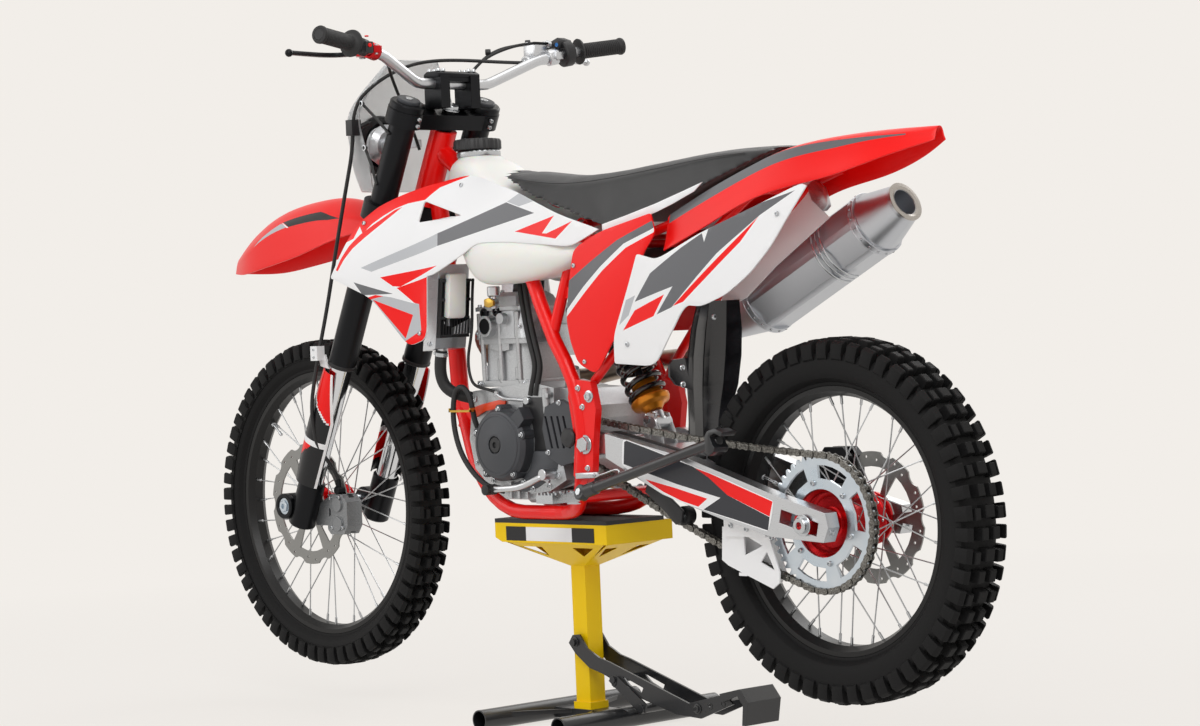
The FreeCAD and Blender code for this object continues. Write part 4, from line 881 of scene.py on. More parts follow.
class BIKE_OT_stage(bpy.types.Operator):
    """Sets up the floor, the lights and the camera"""
    bl_idname = "bike.stage"
    bl_label = "Stage"

    def execute(self, context):
        scene = context.scene
        view = scene.bike_view
        scene.view_settings.view_transform = "Standard"
        camera_data = bpy.data.cameras.new("camera")
        camera_data.lens = view.lens
        camera_data.sensor_width = 36
        camera_data.clip_end = 100
        camera = linked("camera", camera_data)
        back = Vector((-math.sin(view.azimuth) * math.cos(view.elevation),
                       math.cos(view.azimuth) * math.cos(view.elevation),
                       math.sin(view.elevation)))
        right = (-back).cross(Vector((0, 0, 1))).normalized()
        up = right.cross(-back)
        across = right * math.cos(view.roll) + up * math.sin(view.roll)
        upward = up * math.cos(view.roll) - right * math.sin(view.roll)
        camera.matrix_world = Matrix.Translation(at(*CAMERA)) @ Matrix(
            (across, upward, back)).transposed().to_4x4()
        scene.camera = camera

        colour = tuple(view.backdrop) + (1.0,)
        world = bpy.data.worlds.new("studio")
        world.use_nodes = True
        tree = world.node_tree
        seen = tree.nodes["Background"]
        seen.inputs["Color"].default_value = colour
        fill = add_node(tree, "ShaderNodeBackground", Color=linear("#F4F4F6"), Strength=0.5)
        mix = add_node(tree, "ShaderNodeMixShader", [(0, backdrop_ray(tree)),
                                                     (1, fill.outputs[0]),
                                                     (2, seen.outputs[0])])
        tree.links.new(mix.outputs[0], tree.nodes["World Output"].inputs["Surface"])
        scene.world = world

        mesh = bpy.data.meshes.new("floor")
        mesh.from_pydata([(-30, -30, 0), (30, -30, 0), (30, 30, 0), (-30, 30, 0)], [],
            [(0, 1, 2, 3)])
        floor = linked("floor", mesh)
        paper = bpy.data.materials.new("seamless_paper")
        paper.use_nodes = True
        tree = paper.node_tree
        shader = tree.nodes["Principled BSDF"]
        shader.inputs["Base Color"].default_value = linear("#E9E6E2")
        shader.inputs["Roughness"].default_value = 0.9
        glow = add_node(tree, "ShaderNodeEmission", Color=colour)
        where = add_node(tree, "ShaderNodeTexCoord")
        distance = add_node(tree, "ShaderNodeVectorMath", [(0, where.outputs["Object"])],
                            operation="LENGTH")
        fade = add_node(tree, "ShaderNodeMapRange", [("Value", distance.outputs["Value"])],
                        From_Min=1.2, From_Max=4.0, To_Min=0.82, To_Max=1.0)
        shade = add_node(tree, "ShaderNodeMath", [(0, backdrop_ray(tree)),
                                                  (1, fade.outputs["Result"])],
                         operation="MULTIPLY")
        mix = add_node(tree, "ShaderNodeMixShader", [(0, shade.outputs[0]),
                                                     (1, shader.outputs[0]),
                                                     (2, glow.outputs[0])])
        tree.links.new(mix.outputs[0], tree.nodes["Material Output"].inputs["Surface"])
        mesh.materials.append(paper)

        for name, spot, size, power in (("key", (-2.6, 2.6, 3.4), 2.6, 70),
                                        ("fill", (2.8, 3.0, 2.4), 3.0, 33),
                                        ("rim", (0.5, -3.2, 3.0), 2.6, 40),
                                        ("top", (0.0, 0.0, 4.2), 3.0, 26)):
            data = bpy.data.lights.new(name, "AREA")
            data.shape = "DISK"
            data.size = size
            data.energy = power
            lamp = linked(name, data)
            lamp.location = spot
            aim = (Vector((0, 0, 0.7)) - lamp.location).to_track_quat("-Z", "Y")
            lamp.rotation_euler = aim.to_euler()
        return {"FINISHED"}


class BIKE_OT_finishes(bpy.types.Operator):
    """Gives every piece that comes from the frame its material"""
    bl_idname = "bike.finishes"
    bl_label = "Finishes"

    def execute(self, context):
        colours = context.scene.bike_colours
        for name, colour in (("red_powder_coat", colours.red), ("red_polypropylene", colours.red),
                             ("red_film", colours.red), ("white_polypropylene", colours.white),
                             ("white_film", colours.white), ("yellow_enamel", colours.stand)):
            shader = MATERIALS[name].node_tree.nodes["Principled BSDF"]
            shader.inputs["Base Color"].default_value = tuple(colour) + (1.0,)
        for name, obj in NODES.items():
            obj.data.materials.clear()
            obj.data.materials.append(MATERIALS[NODE_FINISH[name]])
        return {"FINISHED"}


class BIKE_OT_tyres(bpy.types.Operator):
    """Makes both knobbly tyres"""
    bl_idname = "bike.tyres"
    bl_label = "Tyres"

    def execute(self, context):
        for name, body, centre, bead, rim_half, radius, half in (
                ("front_tyre", "front_wheel", FRONT_AXLE, 280.3, 20.5, 348.0, 42.0),
                ("rear_tyre", "rear_wheel", REAR_AXLE, 242.2, 27.3, 329.5, 54.0)):
            base = radius - context.scene.bike_tread.depth * 1000
            crown = half * 0.62
            side = [(bead - 9, rim_half - 0.6), (bead + 0.6, rim_half - 0.6),
                    (bead + 1, rim_half + 3), (bead + 5, rim_half + 4.5),
                    (bead + 7, rim_half + 4.2), (bead + 14, half - 11), (bead + 15.5, half - 9.6),
                    (bead + 27, half - 6.5), (base - 24, half - 4.6), (base - 12, half - 7),
                    (base - 4, crown + 2), (base - 0.5, crown * 0.6), (base, 0)]
            profile = side + [(r, -y) for r, y in reversed(side[:-1])]
            carcass = lathe(name + "_carcass", profile, centre, (0, 1, 0), "tyre_rubber", body,
                120)
            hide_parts(name)
            pitch = 2 * math.pi / self.rows(name)
            blocks = []
            for start, end, low, high, foot, top in (
                    (0.05, 0.37, -0.40 * crown, 0.40 * crown, base, radius),
                    (0.10, 0.42, 0.64 * crown, 1.16 * crown, base - 2, radius - 1.5),
                    (0.10, 0.42, -1.16 * crown, -0.64 * crown, base - 2, radius - 1.5),
                    (0.56, 0.88, 0.14 * crown, 0.74 * crown, base, radius),
                    (0.56, 0.88, -0.74 * crown, -0.14 * crown, base, radius)):
                blocks.append(self.lug(start * pitch, end * pitch, low, high, foot - 4, top))
            for way in (1, -1):
                for start, end in ((0.04, 0.40), (0.56, 0.88)):
                    blocks.append(self.shoulder(start * pitch, end * pitch, way, crown, half,
                                                base, radius))
            lugs = ring(name + "_lugs", bare("lug", *merged(blocks)), self.rows(name), centre,
                        "tyre_rubber", body)
            lugs.data.name = name + "_lugs"
        return {"FINISHED"}

    def rows(self, name):
        """How many times the tread's pattern repeats."""
        tread = bpy.context.scene.bike_tread
        return tread.front_rows if name == "front_tyre" else tread.rear_rows

    def lug(self, start, end, low, high, foot, top):
        """One crown block with drafted sides and a chamfered top."""
        rings = []
        for radius, draft in ((foot, 0.0), (top - 1.6, 1.6), (top, 3.0)):
            turn = draft / top
            rings.append([(radius * math.cos(a), y, radius * math.sin(a)) for a, y in (
                (start + turn, low + draft), (end - turn, low + draft),
                (end - turn, high - draft), (start + turn, high - draft))])
        return self.closed(rings)

    def shoulder(self, start, end, way, crown, half, base, radius):
        """One block wrapped over the shoulder."""
        section = [(base - 24, half - 7.5), (base - 20, half - 1.5), (base - 10, half),
                   (radius - 10, half - 1.5), (radius - 5, crown * 1.38),
                   (radius - 4.5, crown * 1.28), (base - 6, crown * 1.2)]
        rings = []
        for angle, inset in ((start, 1.4), (start + 0.006, 0.0), (end - 0.006, 0.0), (end, 1.4)):
            rings.append([((r - inset) * math.cos(angle), way * (y - inset * 0.6),
                           (r - inset) * math.sin(angle)) for r, y in section])
        return self.closed(rings)

    def closed(self, rings):
        """Vertices and faces of a closed block through its rings."""
        count = len(rings[0])
        verts = [spot for one in rings for spot in one]
        faces = [tuple(reversed(range(count))), tuple(range(len(verts) - count, len(verts)))]
        return verts, faces + between(len(rings), count)


class BIKE_OT_wheels(bpy.types.Operator):
    """Makes the hubs, the laced spokes and the wheels' screws"""
    bl_idname = "bike.wheels"
    bl_label = "Hubs and spokes"

    def execute(self, context):
        front = lathe("front_hub_shell", [(12.3, -40), (24, -40), (24, -36), (36, -34.4),
            (37, -33), (37, -29), (36, -28), (26, -22), (21, -14), (20, 0), (21, 14), (26, 22),
            (36, 28), (37, 29), (37, 33), (36, 34), (26, 37.5), (27, 50), (30, 56), (46, 57),
            (46, 60.2), (12.3, 60.2)], FRONT_AXLE, (0, 1, 0), "red_anodised_aluminium",
            "front_wheel", 72, bevel=0.5)
        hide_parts("front_hub")
        rear = lathe("rear_hub_shell", [(10.3, -64), (26, -64), (26, -66.2), (48, -66.2),
            (48, -61), (36, -58), (34, -54), (34, -48), (38, -45), (52, -44), (53, -43), (53, -39),
            (52, -38), (38, -32), (31, -22), (30, 0), (31, 18), (38, 26), (52, 30), (53, 31),
            (53, 35), (50, 37), (42, 41), (46, 48), (56, 56), (64, 58), (65.5, 59), (65.5, 65),
            (60, 65), (52, 50), (46, 47), (28, 45), (24.5, 47), (24, 58), (10.3, 58)], REAR_AXLE,
            (0, 1, 0), "red_anodised_aluminium", "rear_wheel", 72, bevel=0.5)
        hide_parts("rear_hub")
        ear = [(60, 58.4, -15), (60, 58.4, 15), (78, 58.4, 9), (82, 58.4, 0), (78, 58.4, -9),
            (60, 65, -15), (60, 65, 15), (78, 65, 9), (82, 65, 0), (78, 65, -9)]
        sides = [(0, 1, 2, 3, 4), (9, 8, 7, 6, 5)] + [(k, k + 5, (k + 1) % 5 + 5, (k + 1) % 5)
                                                       for k in range(5)]
        ring("rear_hub_ears", bare("ear", ear, sides), 6, REAR_AXLE, "red_anodised_aluminium",
            "rear_wheel", phase=-0.3)
        for name, body, centre, reach, left, right, rim in (
                ("front_spokes", "front_wheel", FRONT_AXLE, 33, 31, -31, 262),
                ("rear_spokes", "rear_wheel", REAR_AXLE, 48, 33, -41, 224)):
            parts = []
            for k in range(4):
                side, flange = (1, left) if k % 2 else (-1, right)
                lean = 1 if k < 2 else -1
                rim_angle = 2 * math.pi * k / SPOKES
                hub_angle = rim_angle + lean * math.radians(62)
                start = Vector((reach * math.cos(hub_angle), flange + 3.4 * lean,
                                reach * math.sin(hub_angle)))
                end = Vector((rim * math.cos(rim_angle), side * 6, rim * math.sin(rim_angle)))
                along = (end - start).normalized()
                parts.append(drum(start - along * 2, end, 1.35, 8))
                parts.append(drum(end - along * 16, end + along * 2, 2.7, 8, 0.8))
                head = Vector((0, lean, 0))
                parts.append(drum(start - head * 0.5, start + head * 2.4, 3.2, 8, 0.8))
            ring(name, bare("spokes", *merged(parts)), SPOKES // 4, centre, "spoke_steel", body)
        screws("sprocket_screws", bolt_circle(6, 73, (0, 70.9, 0), 1, 0.3), 5.4, 5.0,
               "rear_wheel")
        screws("front_disc_screws", bolt_circle(6, 40.5, (1487, 63.8, 12.7), 1, 0.2), 4.0, 3.6,
               "front_wheel")
        screws("rear_disc_screws", bolt_circle(6, 41, (0, -69.8, 0), -1, 0.2), 4.0, 3.6,
               "rear_wheel")
        for name, body, centre, reach, turn in (
                ("front_valve", "front_wheel", FRONT_AXLE, 262, 0.7),
                ("rear_valve", "rear_wheel", REAR_AXLE, 224, 0.35)):
            way = Vector((math.cos(turn), 0, math.sin(turn)))
            joined(name, [drum(centre + way * (reach - 34), centre + way * (reach + 1), 2.6, 12,
                               0.6),
                          drum(centre + way * (reach - 5), centre + way * (reach + 0.5), 5.6, 6,
                               0.8),
                          drum(centre + way * (reach - 40), centre + way * (reach - 30), 3.8, 12,
                               1.2)],
                   "bright_screw_steel", body)
        return {"FINISHED"}


class BIKE_OT_chain(bpy.types.Operator):
    """Makes the drive chain, link by link"""
    bl_idname = "bike.chain"
    bl_label = "Chain"

    def route(self):
        """Points of the pitch line round both sprockets, with the sag of both runs."""
        rear = CHAIN_PITCH / 2 / math.sin(math.pi / REAR_TEETH)
        front = CHAIN_PITCH / 2 / math.sin(math.pi / FRONT_TEETH)
        slope = math.atan2(DRIVE_SHAFT.z, DRIVE_SHAFT.x)
        flare = math.asin((rear - front) / DRIVE_SHAFT.length)
        top, bottom = slope + math.pi / 2 - flare, slope - math.pi / 2 + flare
        points = [Vector((rear * math.cos(a), 0, rear * math.sin(a))) for a in
                  np.linspace(top, bottom + 2 * math.pi, 90)]
        start = points[-1]
        finish = DRIVE_SHAFT + Vector((front * math.cos(bottom), 0, front * math.sin(bottom)))
        for t in np.linspace(0, 1, 41)[1:-1]:
            points.append(start.lerp(finish, t) - Vector((0, 0, 72 * t * (1 - t))))
        points += [DRIVE_SHAFT + Vector((front * math.cos(a), 0, front * math.sin(a)))
                   for a in np.linspace(bottom, top, 30)]
        start, finish = points[-1], points[0]
        for t in np.linspace(0, 1, 41)[1:-1]:
            points.append(start.lerp(finish, t) - Vector((0, 0, 32 * t * (1 - t))))
        return points

    def execute(self, context):
        points = self.route()
        points.append(points[0])
        marks = np.concatenate(([0.0], np.cumsum([(b - a).length for a, b in
                                                  zip(points, points[1:])])))
        count = 2 * round(marks[-1] / CHAIN_PITCH / 2)
        pins = []
        for k in range(count):
            d = marks[-1] * k / count
            pins.append(Vector([float(np.interp(d, marks, [p[i] for p in points]))
                                for i in range(3)]))
        outer, inner = [], []
        for k in range(count):
            a, b = pins[k], pins[(k + 1) % count]
            way = b - a
            turn = (0.0, -math.atan2(way.z, way.x), 0.0)
            middle = (a + b) / 2 + Vector((0, CHAIN_Y, 0))
            (outer if k % 2 else inner).append((middle, turn))
        loop = copies("chain_outer_links", self.link(6.0, 7.6, True), outer, "oiled_chain_steel",
            "frame")
        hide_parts("chain")
        copies("chain_inner_links", self.link(3.7, 5.4, False), inner, "oiled_chain_steel",
            "frame")
        return {"FINISHED"}

    def link(self, near, far, pinned):
        """A pair of waisted side plates, with their pins or rollers."""
        half = CHAIN_PITCH / 2
        outline = []
        for k in range(7):
            turn = math.radians(-90 + 30 * k)
            outline.append((half + 6.2 * math.cos(turn), 6.2 * math.sin(turn)))
        outline.append((0, 4.7))
        outline += [(-x, -z) for x, z in outline]
        parts = []
        for low, high in ((near, far), (-far, -near)):
            parts.append(prism(outline, low, high))
        for x in (-half, half):
            if pinned:
                parts.append(drum((x, -8.6, 0), (x, 8.6, 0), 2.6, 10, 0.5))
            else:
                parts.append(drum((x, -3.6, 0), (x, 3.6, 0), 5.1, 12))
        return bare("link", *merged(parts))


class BIKE_OT_seat(bpy.types.Operator):
    """Makes the padded seat and its cover"""
    bl_idname = "bike.seat"
    bl_label = "Seat"

    def execute(self, context):
        stations = ((846, 688, 676, 34, 42), (825, 684, 668, 48, 58), (790, 677, 652, 60, 74),
            (756, 671, 636, 66, 84), (700, 663, 617, 70, 97), (650, 658, 603, 72, 106),
            (601, 656, 590, 74, 112), (540, 657, 570, 76, 120), (476, 660, 552, 78, 125),
            (410, 665, 566, 81, 121), (340, 670, 582, 84, 115), (270, 676, 602, 87, 108),
            (209, 680, 624, 88, 100), (140, 682, 648, 84, 90), (96, 682, 662, 78, 82),
            (73, 682, 672, 70, 74))
        puff = 4.0
        rows = []
        for x, top, low, upper, lower in stations:
            row = []
            for part in np.linspace(0, 1, 9):
                angle = math.pi / 2 * part
                rise = math.cos(angle)
                side = math.sin(angle)
                y = upper * side ** 0.85
                row.append((x, y, top - puff - 12 * (1 - rise)))
            for part in (0.3, 0.55, 0.8, 1.0):
                y = upper + (lower - upper) * part ** 1.2
                z = top - puff - 12 + (low - top + 12) * part
                row.append((x, y - (puff if part < 1 else 0), z))
            row.append((x, lower - 6, low - 1))
            row.append((x, lower * 0.5, low + 6))
            rows.append(row)
        verts = []
        width = 2 * len(rows[0]) - 1
        for row in rows:
            verts += [(x, -y, z) for x, y, z in reversed(row[1:])] + row
        faces = between(len(rows), width) + [
            tuple(range(width)), tuple(reversed(range(len(verts) - width, len(verts))))]
        seat = outward(place("seat_cover", verts, faces, "grained_vinyl", "frame"))
        seat = self.stuffed(seat)
        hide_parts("seat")
        self.piping(stations)
        return {"FINISHED"}

    def stuffed(self, seat):
        """Swells the cover over its foam by a cloth simulation, and keeps the result."""
        scene = bpy.context.scene
        modified(seat, "voxels", "REMESH", mode="VOXEL", voxel_size=0.0055)
        graph = bpy.context.evaluated_depsgraph_get()
        mesh = bpy.data.meshes.new_from_object(seat.evaluated_get(graph))
        seat.modifiers.clear()
        seat.data = mesh
        rest = np.array([v.co for v in mesh.vertices])
        group = seat.vertex_groups.new(name="tacked")
        cell, hem, swell = 0.012, 0.013, 0.005
        floor = {}
        for spot in rest:
            key = int(spot[0] / cell)
            floor[key] = min(floor.get(key, 9.0), spot[2])
        for k, spot in enumerate(rest):
            if spot[2] < floor[int(spot[0] / cell)] + hem:
                group.add([k], 1.0, "REPLACE")
        cloth = seat.modifiers.new("cover", "CLOTH")
        for key, value in (("use_pressure", True), ("uniform_pressure_force", 4.0),
                           ("quality", 6), ("mass", 0.4), ("tension_stiffness", 40),
                           ("compression_stiffness", 40), ("shear_stiffness", 20),
                           ("bending_stiffness", 2), ("vertex_group_mass", "tacked")):
            setattr(cloth.settings, key, value)
        cloth.settings.effector_weights.gravity = 0.0
        cloth.collision_settings.use_self_collision = False
        cloth.point_cache.frame_start = 1
        cloth.point_cache.frame_end = 20
        for frame_number in range(1, 21):
            scene.frame_set(frame_number)
        graph = bpy.context.evaluated_depsgraph_get()
        swollen = bpy.data.meshes.new_from_object(seat.evaluated_get(graph))
        moved = np.array([v.co for v in swollen.vertices]) - rest
        far = np.linalg.norm(moved, axis=1, keepdims=True)
        capped = rest + moved * np.minimum(1.0, swell / np.maximum(far, 1e-9))
        for vertex, spot in zip(swollen.vertices, capped):
            vertex.co = spot
        seat.modifiers.clear()
        seat.data = swollen
        scene.frame_set(1)
        modified(seat, "even", "SMOOTH", factor=0.5, iterations=6)
        modified(seat, "smooth", "SUBSURF", levels=1, render_levels=1)
        return finished(seat, 180)

    def piping(self, stations):
        """The sewn edge along each side's lower line."""
        for side, name in ((1, "seat_seam_left"), (-1, "seat_seam_right")):
            points = [(x, side * (upper + (lower - upper) * 0.12 + 0.4), top - 15)
                      for x, top, _, upper, lower in stations[2:-2]]
            pipe(name, points, 1.1, "grained_vinyl", "frame", sides=2)


class BIKE_OT_shrouds(bpy.types.Operator):
    """Makes the radiator shrouds with their stripes"""
    bl_idname = "bike.shrouds"
    bl_label = "Shrouds"

    def execute(self, context):
        depth = wall_depth((330, 440, 550, 620, 690), ((450, (140, 138, 136, 134, 130)),
            (600, (146, 145, 140, 130, 112)), (750, (155, 152, 146, 131, 102)),
            (870, (165, 158, 148, 124, 76)), (950, (178, 165, 152, 127, 84)),
            (1030, (196, 188, 172, 146, 106)), (1110, (212, 208, 192, 160, 120)),
            (1200, (226, 222, 208, 180, 142))))
        outline = [(1186, 485), (1163, 531), (1144, 575), (1128, 599), (1096, 625), (1043, 645),
            (985, 661), (903, 675), (846, 667), (715, 633), (589, 582), (476, 547), (552, 518),
            (626, 526), (720, 535), (809, 538), (857, 514), (936, 480), (950, 479), (945, 355),
            (988, 341), (1079, 441)]
        inks = (("red_film", [(1190, 540), (1136, 562), (1129, 586), (1116, 571), (1098, 590),
            (1075, 605), (1051, 617), (1023, 626), (984, 631), (973, 642), (959, 654), (927, 664),
            (880, 676), (880, 700), (1060, 700), (1190, 640)]),
            ("red_film", [(1172, 500), (1162, 520), (1144, 547), (1122, 569), (1094, 588),
            (1050, 615), (1033, 620), (1077, 586), (1107, 563), (1133, 542), (1152, 520),
            (1166, 498)]), ("silver_film", [(1106, 502), (929, 562), (925, 537), (1079, 493)]),
            ("grey_film", [(929, 562), (735, 612), (652, 587), (925, 537)]),
            ("silver_film", [(733, 613), (688, 634), (646, 612), (697, 602)]),
            ("red_film", [(703, 554), (597, 579), (628, 547), (616, 546), (547, 566), (591, 535)]),
            ("red_film", [(1058, 481), (924, 498), (1011, 460), (1028, 462)]),
            ("red_film", [(1095, 440), (1011, 460), (930, 482), (930, 345), (996, 325)]),
            ("silver_film", [(1079, 438), (1044, 444), (967, 424), (959, 372), (999, 350)]),
            ("red_film", [(1074, 437), (980, 403), (995, 357)]),
            ("white_film", [(1072, 447), (1020, 459), (976, 425), (1031, 440)]),
            ("grey_film", [(1123, 474), (1027, 447), (1099, 447)]),)
        opening = eased([(984, 586), (984, 629), (867, 594)], 0.2)
        obj = panel_pair("shroud", depth, outline, "white_polypropylene", 3.4, inks,
                         [opening], [opening])
        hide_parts("shrouds")
        spots = []
        for x, z in ((902, 655), (1120, 592), (962, 366)):
            spots.append(((x, depth(x, z) + 0.2, z), (0.1, 1, 0.25)))
        screws("shroud_screws", both_sides(spots), 5.0, 3.6)
        return {"FINISHED"}


def clear_of_exhaust():
    """The strip of a right-hand panel that is cut away round the silencer."""
    front, rear = Vector((392.0, 352.0)), Vector((-52.0, 566.0))
    along = (rear - front).normalized()
    across = Vector((along.y, -along.x))
    front, rear = front - along * 90, rear + along * 90
    return [front + across * 69, rear + across * 69, rear - across * 69, front - across * 69]


class BIKE_OT_side_covers(bpy.types.Operator):
    """Makes the side covers and the number panels with their stripes"""
    bl_idname = "bike.side_covers"
    bl_label = "Side covers"

    def execute(self, context):
        depth = wall_depth((250, 360, 470, 590), ((300, (122, 126, 126, 120)),
            (400, (128, 134, 136, 130)), (490, (130, 137, 138, 132)), (600, (130, 132, 134, 130))))
        outline = [(476, 542), (548, 514), (559, 475), (578, 382), (570, 339), (552, 297),
            (502, 275), (453, 336), (444, 339), (391, 437), (364, 496), (334, 533), (345, 570)]
        white = [(590, 385), (567, 405), (523, 441), (474, 477), (411, 517), (346, 539),
            (295, 561), (293, 553), (343, 532), (406, 509), (469, 469), (516, 433), (563, 396),
            (590, 376)]
        grey = [(590, 440), (562, 455), (502, 487), (429, 524), (330, 560), (295, 561), (346, 539),
            (411, 517), (474, 477), (523, 441), (567, 405), (590, 385)]
        room = clear_of_exhaust()
        low_room = [(430, 260), (720, 260), (720, 350), (430, 350)]
        obj = panel_pair("side_cover", depth, outline, "red_polypropylene", 3.4,
                         (("grey_film", grey), ("white_film", white)), right=[room, low_room])
        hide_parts("side_panels")
        screws("side_cover_screws", [((532, depth(532, 300) + 0.2, 300), (0, 1, 0)),
            ((548, depth(548, 482) + 0.2, 482), (0, 1, 0))], 5.0, 3.4)

        depth = wall_depth((270, 400, 520, 650), ((470, (134, 140, 140, 136)),
            (314, (140, 146, 145, 138)), (207, (134, 140, 138, 130)), (95, (122, 128, 124, 114)),
            (-60, (102, 108, 104, 94))))
        outline = [(444, 345), (394, 437), (367, 496), (314, 483), (207, 527), (95, 565),
            (-14, 603), (-26, 598), (14, 546), (50, 496), (96, 450), (151, 414), (210, 394),
            (249, 398), (335, 288), (447, 295)]
        inks = (("grey_film", [(332, 459), (255, 501), (203, 526), (198, 510), (188, 533),
            (110, 564), (-2, 591), (73, 552), (170, 488), (281, 395), (320, 383), (276, 433),
            (377, 408), (372, 414)]), ("red_film", [(278, 397), (77, 549), (117, 506), (194, 447),
            (252, 404)]), ("red_film", [(415, 356), (379, 392), (298, 419), (329, 380)]),
            ("silver_film", [(425, 366), (401, 412), (375, 420), (396, 384)]),)
        obj = panel_pair("number_panel", depth, outline, "white_polypropylene", 3.4, inks,
                         right=[room])
        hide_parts("number_panels")
        screws("number_panel_screws", [((405, depth(405, 330) + 0.2, 330), (0, 1, 0)),
            ((36, depth(36, 552) + 0.2, 552), (0, 1, 0))], 5.0, 3.4)
        return {"FINISHED"}


class BIKE_OT_fenders(bpy.types.Operator):
    """Makes the front and rear mudguards with their stripes"""
    bl_idname = "bike.fenders"
    bl_label = "Mudguards"

    def shell(self, name, node, stations, section, inks, body):
        """A long curved shell through stations; across it, 160 units reach each edge."""
        xs = [row[0] for row in stations]
        lines = [natural(sorted(xs), [v for _, v in sorted(zip(xs, column))])
                 for column in list(zip(*stations))[1:]]

        def surface(x, across):
            return section(x, across / 160, *[line(x) for line in lines])
        rim = [(min(xs), -160), (max(xs), -160), (max(xs), 160), (min(xs), 160)]
        shell = panel(name, None, rim, "red_polypropylene", body, 2.6, -1, inks,
                      step=10, soften=False, surface=surface)
        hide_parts(node)

    def execute(self, context):
        def front_section(x, t, top, low, upper, lower):
            drop = min(44, (top - low) * 0.45)
            if abs(t) < 0.55:
                a = abs(t) / 0.55
                y, z = upper * a, top - drop * a * a
            else:
                a = (abs(t) - 0.55) / 0.45
                y = upper + (lower - upper) * a
                z = top - drop + (low - top + drop) * a
            return x, math.copysign(y, t), z

        inks = []
        for way in (1, -1):
            for finish, shape in (("silver_film", [(1662, 92), (1622, 84), (1562, 75),
                    (1530, 90)]), ("white_film", [(1562, 73), (1556, 75), (1524, 92), (1530, 92)]),
                    ("black_film", [(1556, 74), (1426, 70), (1350, 91), (1524, 91)])):
                inks.append((finish, [(x, way * v) for x, v in shape]))
        self.shell("front_mudguard", "front_fender", ((1190, 588, 560, 36, 44),
            (1250, 614, 578, 44, 54), (1347, 651, 570, 54, 72), (1473, 656, 541, 58, 74),
            (1618, 630, 518, 54, 64), (1700, 594, 509, 42, 48), (1779, 546, 512, 10, 14)),
            front_section, inks, "steering")

        def rear_section(x, t, top, low, upper, lower):
            if abs(t) < 0.6:
                a = abs(t) / 0.6
                y, z = upper * a, top - 10 * a ** 3
            else:
                a = (abs(t) - 0.6) / 0.4
                y = upper + (lower - upper) * (0.45 * a + 0.55 * a * a)
                z = top - 10 + (low - top + 10) * a
            return x, math.copysign(y, t), z

        inks = []
        for way in (1, -1):
            inks.append(("grey_film", [(326, way * 94), (200, way * 95), (60, way * 96),
                (-60, way * 97), (-200, way * 99), (-200, way * 104), (-60, way * 111),
                (60, way * 113), (200, way * 113), (326, way * 112)]))
        self.shell("rear_mudguard", "rear_fender", ((330, 574, 500, 96, 112),
            (209, 622, 545, 92, 108), (120, 654, 580, 84, 100), (66, 670, 594, 82, 92),
            (-60, 686, 614, 66, 76), (-171, 689, 642, 42, 54), (-250, 688, 664, 10, 16)),
            rear_section, inks, "frame")
        return {"FINISHED"}


